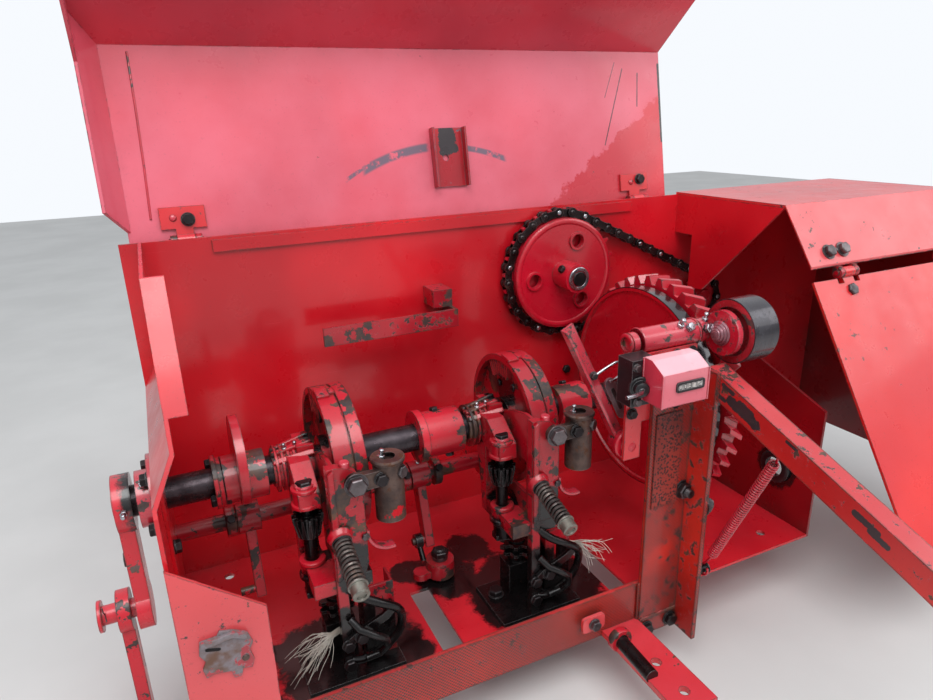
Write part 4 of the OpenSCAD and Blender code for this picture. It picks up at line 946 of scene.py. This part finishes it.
def chain_place(x, z):
    c, s = math.cos(CHAIN_TILT), math.sin(CHAIN_TILT)
    return SPR_X + x * c - z * s, SPR_Z + x * s + z * c


chain = Piece("roller_chain", "housing", "link", "bright", smooth=30)
PLATE_R, WAIST, PLATE_T = 8.0, 5.6, 2.4
for i in range(CHAIN_LINKS):
    ax, az = chain_place(*on_loop(i * CHAIN_P))
    bx, bz = chain_place(*on_loop(((i + 1) % CHAIN_LINKS) * CHAIN_P))
    length = math.hypot(bx - ax, bz - az)
    plate = (arc(0, 0, PLATE_R, 45, 315, 9) + [(length / 2, -WAIST)]
             + arc(length, 0, PLATE_R, -135, 135, 9) + [(length / 2, WAIST)])
    out = PLATE_T * (i % 2)
    spot = at((ax, 0, az), -Y, (bx - ax, 0, bz - az))
    for y in (CHAIN_Y0 + out, CHAIN_Y1 - PLATE_T - out):
        chain.add(prism(plate, -y - PLATE_T + 0.15, -y - 0.15), spot)
    chain.add(lathe([(-CHAIN_Y1 + PLATE_T, 4.0), (-CHAIN_Y1 + 2 * PLATE_T, 7.2),
                     (-CHAIN_Y0 - 2 * PLATE_T, 7.2), (-CHAIN_Y0 - PLATE_T, 4.0)], 14), spot)
    pin = ((-1, 0), (-1, 3.6), (0.9, 3.6), (1.6, 2.6), (1.7, 0))
    polished = i % 5 == 2 or i % 7 == 0
    chain.add(lathe([(z - CHAIN_Y0, r) for z, r in pin], 12), spot, int(polished))
chain.make("chain")

sprocket = Piece("sprocket_details", "housing", "bolt", "gloss_cast", "bright", "dark_bolt", bevel=0.3)
spot = at((SPR_X, 120, SPR_Z), -Y, X)
sprocket.add(lathe([(-2.2, 12.4), (-2.2, 17.4), (-1, 18.4), (0.4, 18.4), (1.2, 17.4), (1.2, 12.9),
                    (-2.2, 12.4)], 40), spot, 2)
sprocket.add(lathe([(-1, 0), (-1, 11.2), (1.4, 11.6), (2.6, 10.4), (2.6, 0)], 32), spot, 3)
sprocket.add(lathe([(-48, 23.2), (-48, 33), (-44.5, 33), (-43, 27), (-42, 23.2)], 40), spot, 1)
sprocket.add(lathe([(-42.6, 78), (-41.4, 80), (-40.4, 82.5), (-40.6, 86), (-42.6, 88.6),
                    (-42.6, 78)], 72), spot, 1)
sprocket.add(hex_head(11, 6, 0), at((SPR_X - 19, 138, SPR_Z + 13), (-0.82, 0, 0.57)), 3)
sprocket.make()

# Gear ring with slanting teeth
gear = Piece("slanted_gear", "ring", "gloss_cast", smooth=24)
SLANT, LAYERS = 0.62, 5
shares = ((0.0, 0), (0.2, 1), (0.48, 1), (0.68, 0))
verts, faces = [], []
count = RING_TEETH * len(shares)


def gear_loop(x, radii, angles):
    start = len(verts)
    verts.extend((r * math.cos(a), r * math.sin(a), x) for r, a in zip(radii, angles))
    return start


def skin(a, b):
    faces.extend((a + j, a + (j + 1) % count, b + (j + 1) % count, b + j) for j in range(count))


def spun(r):
    return [r] * count


even = [math.tau * (t + share) / RING_TEETH for t in range(RING_TEETH) for share, _ in shares]
toothed = [RING_ROOT if tip == 0 else RING_R for _ in range(RING_TEETH) for _, tip in shares]
web = gear_loop(8, spun(SHAFT_R + 0.1), even)
rows = [gear_loop(8, spun(RING_ROOT - 15), even), gear_loop(0, spun(RING_ROOT - 15), even)]
rows.append(gear_loop(0, spun(RING_ROOT - 3), even))
for layer in range(LAYERS):
    t = layer / (LAYERS - 1)
    rows.append(gear_loop(RING_W * t, toothed, [a + SLANT * t * math.tau / RING_TEETH for a in even]))
turned_by = [a + SLANT * math.tau / RING_TEETH for a in even]
rows += [gear_loop(RING_W, spun(RING_ROOT - 3), turned_by), gear_loop(RING_W, spun(35), turned_by),
         gear_loop(RING_W + 20, spun(35), turned_by), gear_loop(RING_W + 20, spun(SHAFT_R + 0.1), turned_by)]
skin(web, rows[0])
for a, b in zip(rows, rows[1:]):
    skin(a, b)
skin(rows[-1], web)
gear.add((verts, faces), at((RING_X, 0, 0), X, Y))
gear.make("gear_ring")

# Counter, roller arm and trip arm
arm = Piece("arm_details", "arm", "turned", "bright", "bolt", "cast_pink", bevel=0.25)
arm.add(lathe([(0, 0), (0, 15), (1.2, 15.6), (2.4, 14.4), (3, 12.4), (3.8, 13.0), (4.6, 12), (5.4, 9.6),
               (6.4, 10.2), (7.2, 9.2), (8.2, 6.4), (8.8, 6.6), (9.6, 5.2), (9.4, 0)], 40),
        at((636, ROL_Y, ROL_Z), -X))
arm.add(lathe([(0, 8), (0, 11.5), (1, 12.6), (2.4, 12.9), (3.4, 11.6), (4, 9), (4, 8), (0, 8)], 40),
        at((524, TUBE_Y, TUBE_Z), -X), 3)
arm.add(nipple(0.9), at((634.5, TUBE_Y - 6, TUBE_Z + 13.6), (-0.1, -0.35, 1)), 1)
arm.add(hex_head(11, 8, 0), at((631, TUBE_Y - 14, TUBE_Z + 6), (0, -1, 0.4)), 1)
arm.make()

tube_fit = Piece("pivot_details", "housing", "bright", "bolt", "cast_pink", bevel=0.25)
tube_fit.add(nipple(1.0), at((593, TUBE_Y - 9, TUBE_Z + 13), (0, -0.55, 0.85)))
tube_fit.add(hex_head(10, 7, 0), at((604, TUBE_Y - 12, TUBE_Z + 10), (0.1, -0.8, 0.6)))
for x in (536, 619):
    tube_fit.add(lathe([(0, 9), (0, 16.8), (0.8, 17.4), (2.2, 17.4), (3, 16.6), (3, 9), (0, 9)], 40),
                 at((x, TUBE_Y, TUBE_Z), X), 2)
tube_fit.make()

BOX_Y, BOX_X0, BOX_X1 = -216, 512, 577
counter = Piece("counter_window", "housing", "dial", "plastic", "digit", "counter", bevel=0.25)
frame_w, frame_h = 40, 12
face = at(((BOX_X0 + BOX_X1) / 2 + 6, BOX_Y, 100), -Y, X)
outer = rounded(frame_w, frame_h, 3)
inner = rounded(frame_w - 5, frame_h - 5, 2)
count = len(outer)
rim = ([(x, y, 0) for x, y in outer] + [(x, y, 1.8) for x, y in outer] + [(x, y, 1.8) for x, y in inner]
       + [(x, y, 0.3) for x, y in inner])
counter.add((rim, [(a + j, a + (j + 1) % count, a + count + (j + 1) % count, a + count + j)
                   for a in (0, count, 2 * count) for j in range(count)]), face, 1)
counter.add(prism(inner, 0.1, 0.5), face)
# Plain figures of seven bars: which bars each shows
BARS = {"0": "abcdef", "3": "abcdg", "7": "abc", "2": "abged"}
SPOTS = {"a": (0, 2.6, 1), "b": (1.5, 1.3, 0), "c": (1.5, -1.3, 0), "d": (0, -2.6, 1), "e": (-1.5, -1.3, 0),
         "f": (-1.5, 1.3, 0), "g": (0, 0, 1)}
for j, figure in enumerate("00372"):
    cx = -13.6 + 6.8 * j
    for bar in BARS[figure]:
        bx, by, flat = SPOTS[bar]
        w, h = (3.2, 0.8) if flat else (0.8, 2.8)
        counter.add(moved(prism(rounded(w, h, 0.4, 2), 0.4, 0.8), (cx + bx, by, 0)), face, 2)
    if j:
        gap = [(-0.25, -3.6), (0.25, -3.6), (0.25, 3.6), (-0.25, 3.6)]
        counter.add(moved(prism(gap, 0.4, 0.8), (cx - 3.4, 0, 0)), face, 1)
# Rolled rims of the box
for y, z0, z1 in ((BOX_Y, 78, 117), (BOX_Y + 33.5, 78, 128.5)):
    for x in (BOX_X0, BOX_X1):
        counter.add(tube([(x, y, z0), (x, y, z1)], 1.3, 8), look=3)
counter.make()

lever = Piece("counter_lever", "housing", "bright", "plastic", "dark_bolt", "bolt", bevel=0.3)
lever.add(lathe([(0, 0), (0, 13), (3, 13), (4, 12), (4, 9), (11, 8.4), (12, 7), (12, 0)], 36),
          at((508, -182, 94), (-0.35, -1, 0)), 1)
lever.add(tube([(506, -190, 94), (499, -197, 94), (488, -201, 94.5), (474, -203, 95)], 2.5, 12))
for x, z in ((502, 118), (505, 76)):
    lever.add(hex_head(8, 4, 5), at((x, -182, z), -Y), 3)
for x, z in ((583, 112), (583, 48), (606, 112), (520, 48)):
    lever.add(hex_head(10, 5, 7.5), at((x, -156, z), -Y), 2)
lever.make()

trip = Piece("trip_details", "trip", "bright", "cast_pink", "bolt", "zinc", "gloss_cast", bevel=0.3)
TRIP_X, TRIP_Z, TRIP_A, TRIP_Y = 524, 2, math.radians(27), -132
up = Vector((-math.sin(TRIP_A), 0, math.cos(TRIP_A)))
across = Vector((math.cos(TRIP_A), 0, math.sin(TRIP_A)))
pivot = Vector((TRIP_X, TRIP_Y, TRIP_Z))
trip.add(lathe([(0, 0), (0, 17.5), (1.5, 18.6), (7, 18.6), (8.6, 17), (9, 11), (10, 10.2), (12.5, 10),
                (13, 7), (15.6, 6.6), (16.4, 5.4), (16.4, 0)], 40), at(pivot - Y * 8, -Y), 4)
trip.add(cotter(14), at(pivot - Y * 22, Y, (0.4, 0, 1)), 2)


def on_arm(along, aside, out):
    return tuple(pivot + up * along + across * aside - Y * out)


hook = [on_arm(104, 6, 3), on_arm(105, 16, 5)]
for j in range(13):
    a = math.pi * (0.15 + 1.15 * j / 12)
    hook.append(on_arm(96 + 9 * math.cos(a), 26 + 16 * math.sin(a) * 0.9, 6 + j * 0.4))
trip.add(tube(hook, 1.7, 10))
trip.add(hex_head(8, 4, 5.5), at(on_arm(104, 3, 0.2), -Y), 2)
bar = at(on_arm(58, 17, 1), -Y, up)
trip.add(prism(slot_shape(62, 15, 6), 0, 3.2), bar, 3)
trip.add(prism(slot_shape(34, 5.5, 6), 3.2, 3.5), bar, 2)
trip.make()

# Post, beam, corner plate, rail
front = Piece("front_fasteners", "housing", "bolt", "dark_bolt", "grip", "beam", bevel=0.4)
front.add(nut_on_stud(19, 9, 6, 5, 13), at((POST_X1, -188, -88), X))
front.add(nut_on_stud(19, 9, 6, 7, 13), at((604, -162, -74), -Y))
for x, z in ((560, -278), (600, -276)):
    front.add(hex_head(16, 7, 11), at((x, -162, z), -Y), 1)
# Weld beads along the post's foot and between plate and beam
for a, b in (((POST_X0 + 2, -162, -262), (POST_X1 - 4, -162, -262)),
             ((POST_X0, -158, -205), (POST_X0, -158, -262))):
    a, b = Vector(a), Vector(b)
    steps = int((b - a).length / 3)
    for j in range(steps):
        c = a + (b - a) * ((j + 0.5) / steps)
        bead = lathe([(-1.0, 0), (-1.0, 2.4), (0.2, 3.4), (1.5, 2.3), (1.9, 0)], 9)
        front.add(bead, at(c, (0, -1, random.uniform(-0.3, 0.3))), 3)
front.make()

# Torn latch holder on the corner plate
latch = Piece("torn_latch", "housing", "latch", "rust", "dark_bolt", bevel=0.35)
shape = [(14, -80), (30, -79), (33, -74), (45, -77), (58, -84), (62, -97), (58, -105), (61, -118),
         (58, -127), (49, -125), (47, -133), (40, -133), (38, -124), (24, -121), (15, -123), (13, -112),
         (17, -104), (12, -95)]
latch.add(prism(shape, 0, 2.6), at((0, -160, 0), -Y, X))
# Upper edge folded over, an empty slot and one rivet that is left
latch.add(prism(slot_shape(15, 4, 5), 2.2, 2.9), at((25, -160, -92), -Y, (1, 0, -0.3)), 2)
latch.add(lathe([(0, 3.6), (1.0, 3.4), (1.8, 2.2), (2.0, 0)], 18), at((53, -162.6, -113), -Y), 1)
lip = [(14, -80), (30, -79), (45, -77), (58, -84), (56, -89), (44, -83), (30, -85), (15, -86)]
latch.add(prism(lip, 2.5, 6.2), at((0, -160, 0), -Y, X))
latch.make()

rail = Piece("rail_parts", "housing", "grease", "pink_plate", "cast", "bolt", bevel=0.4)
rail.add(tube([(500, -176, -256), (499, -210, -257), (498, -250, -258)], 9, 20))
rail.add(lathe([(0, 9.2), (0, 15), (1.5, 16), (9, 16), (10.5, 15), (10.5, 9.2), (0, 9.2)], 32),
         at((500, -178, -256), -Y), 2)
rail.add(prism(rounded(34, 22, 5), 0, 5), at((470, -163, -232), -Y, X), 1)
rail.add(hex_head(13, 6, 8), at((470, -168, -232), -Y), 3)
rail.make()

# Walls, cover, door, guide
walls = Piece("wall_fasteners", "housing", "bolt", "dark_bolt", "plastic", "cast", bevel=0.3)
walls.add(hex_head(13, 6, 0), at((654, 190, -33), -Y), 1)
COVER_OUT = (0, -0.82, 0.57)
for x, z in ((922, 188), (951, 189)):
    walls.add(hex_head(16, 7, 11.5), at((x, -82, z), COVER_OUT))
door_bolt = Piece("door_bolt", "door", "bolt", bevel=0.3)
door_bolt.add(hex_head(16, 7, 11.5), at((948, -107, 133), COVER_OUT))
door_bolt.make()
# Two that hold the doubler to the left wall
for y, z in ((-20, 46), (-52, -38)):
    walls.add(hex_head(13, 6, 8), at((4, y, z), X), 1)
# Black guide bush of the twine in the right wall
walls.add(lathe([(-6, 15), (-6, 25), (-4.5, 27), (-1, 27), (0, 24), (3, 22.6), (8, 22.6), (8, 18),
                 (2, 15.4), (-6, 15)], 44), at((877, -80, -150), X), 2)
walls.make()

# Hood
hood = Piece("hood_fasteners", "hood", "dark_bolt", "cast_pink", "bolt", bevel=0.3)
for x, u in ((81.8, 27), (809.4, 34)):
    hood.add(hex_head(14, 6, 9), at(hood_at(x, u, -5.5), HOOD_N))
for x, u in ((64, 30), (792, 30)):
    hood.add(lathe([(0, 4.6), (1.0, 4.4), (2.2, 3.0), (2.6, 0)], 16), at(hood_at(x, u, -5.5), HOOD_N), 1)
# Folded lap seam at the left of the panel
seam = [hood_at(38, 30, -9.3), hood_at(41, 100, -9.3), hood_at(43, 170, -9.3), hood_at(44, 234, -9.3)]
hood.add(tube(seam, 1.5, 8), look=1)
hood.make()

# Stay spring with its hooks
low = Vector((630, -186, -190))
high = Vector((630, -184 - 108 * math.cos(STAY_A), 80 - 108 * math.sin(STAY_A) - 6))
line = (high - low).normalized()
length = (high - low).length
stay = Piece("stay_coil", "housing", "gloss_cast", "dark_bolt", "bright", smooth=60)
wire, pitch, body_l = 3.2, 4.1, length - 64
turns = body_l / pitch
spot = at(low + line * 32, line, X)
stay.add(coil(5.2, pitch, turns, wire, per_turn=14, n=8, dead=0.2), spot)
for end, along in ((low, line), (high, -line)):
    loop = [end + along * 34 + X * 5.4, end + along * 30 + X * 3]
    loop += [end + along * (9 * math.cos(a)) + line.cross(X) * (8 * math.sin(a))
             for a in [math.pi * (0.1 + 1.7 * j / 14) for j in range(15)]]
    stay.add(tube([tuple(q) for q in loop], wire / 2, 8))
for c, x0 in ((low, 615), (high, 620)):
    stay.add(lathe([(0, 0), (0, 5), (19, 5), (19.4, 7.6), (21, 7.6), (21, 0)], 24), at((x0, c.y, c.z), X), 1)
stay.make("stay_spring")

# Stage
lens = bpy.data.cameras.new("view")
lens.lens = 26.17
lens.sensor_width = 36.0
lens.clip_start = 0.01
eye = show("view", lens)
right = Vector((0.90539, -0.42374, -0.02657))
down = Vector((-0.16105, -0.28487, -0.94494))
ahead = Vector((0.39284, 0.85982, -0.32616))
turn = Matrix((right, -down, -ahead)).transposed()
eye.matrix_world = Matrix.Translation(Vector((-0.4026, -0.7674, 0.6290))) @ turn.to_4x4()
scene.camera = eye

ground = bpy.data.meshes.new("floor")
FLOOR_HALF, FLOOR_DROP = 6, 0.002
corners = [(x * FLOOR_HALF, y * FLOOR_HALF, cad_lo.z - FLOOR_DROP)
           for x, y in ((-1, -1), (1, -1), (1, 1), (-1, 1))]
ground.from_pydata(corners, [], [(0, 1, 2, 3)])
floor = show("floor", ground)
fg = Graph("floor_paint")
tone = fg.mix(fg.step(fg.noise(3.0, 4.0), 0.3, 0.7), (0.62, 0.62, 0.61, 1), (0.68, 0.68, 0.67, 1))
ground.materials.append(fg.done(tone, 0.85))

# Soft sky: a plain level on the object, and white where it is mirrored or seen
world = bpy.data.worlds.new("soft_studio")
scene.world = world
world.use_nodes = True
sky = world.node_tree
sky.nodes.clear()
path = add_node(sky, "LightPath", {}).outputs
seen = add_node(sky, "Math", {0: path["Is Camera Ray"], 1: path["Is Glossy Ray"]}, operation="MAXIMUM")
level = add_node(sky, "MapRange", {"Value": seen.outputs[0], "To Min": 0.66, "To Max": 1.0})
# The mirrored sky is darker towards the horizon, as open ground round the machine makes it
place = add_node(sky, "TexCoord", {})
rise = add_node(sky, "SeparateXYZ", {0: place.outputs["Generated"]}).outputs[2]
height = add_node(sky, "MapRange", {"Value": rise, "From Min": -0.1, "From Max": 0.55, "To Min": 0.3,
                                    "To Max": 1.0})
gloss = add_node(sky, "Mix", {0: path["Is Glossy Ray"], 2: 1.0, 3: height.outputs[0]})
power = add_node(sky, "Math", {0: level.outputs[0], 1: gloss.outputs[0]}, operation="MULTIPLY")
light = add_node(sky, "Background", {0: (0.93, 0.96, 1.0, 1), 1: power.outputs[0]})
add_node(sky, "OutputWorld", {0: light.outputs[0]})


def area(name, place, target, size, power):
    lamp = bpy.data.lights.new(name, "AREA")
    lamp.shape = "RECTANGLE"
    lamp.size, lamp.size_y = size
    lamp.energy = power
    holder = show(name, lamp)
    holder.location = place
    holder.rotation_euler = (Vector(target) - Vector(place)).to_track_quat("-Z", "Y").to_euler()


area("sky", (-0.4, -1.4, 2.6), (0.05, 0.0, 0.2), (2.2, 1.6), 62)
area("side", (2.2, -1.2, 1.6), (0.1, 0.0, 0.2), (1.4, 1.4), 12)

scene.view_settings.view_transform = "Standard"
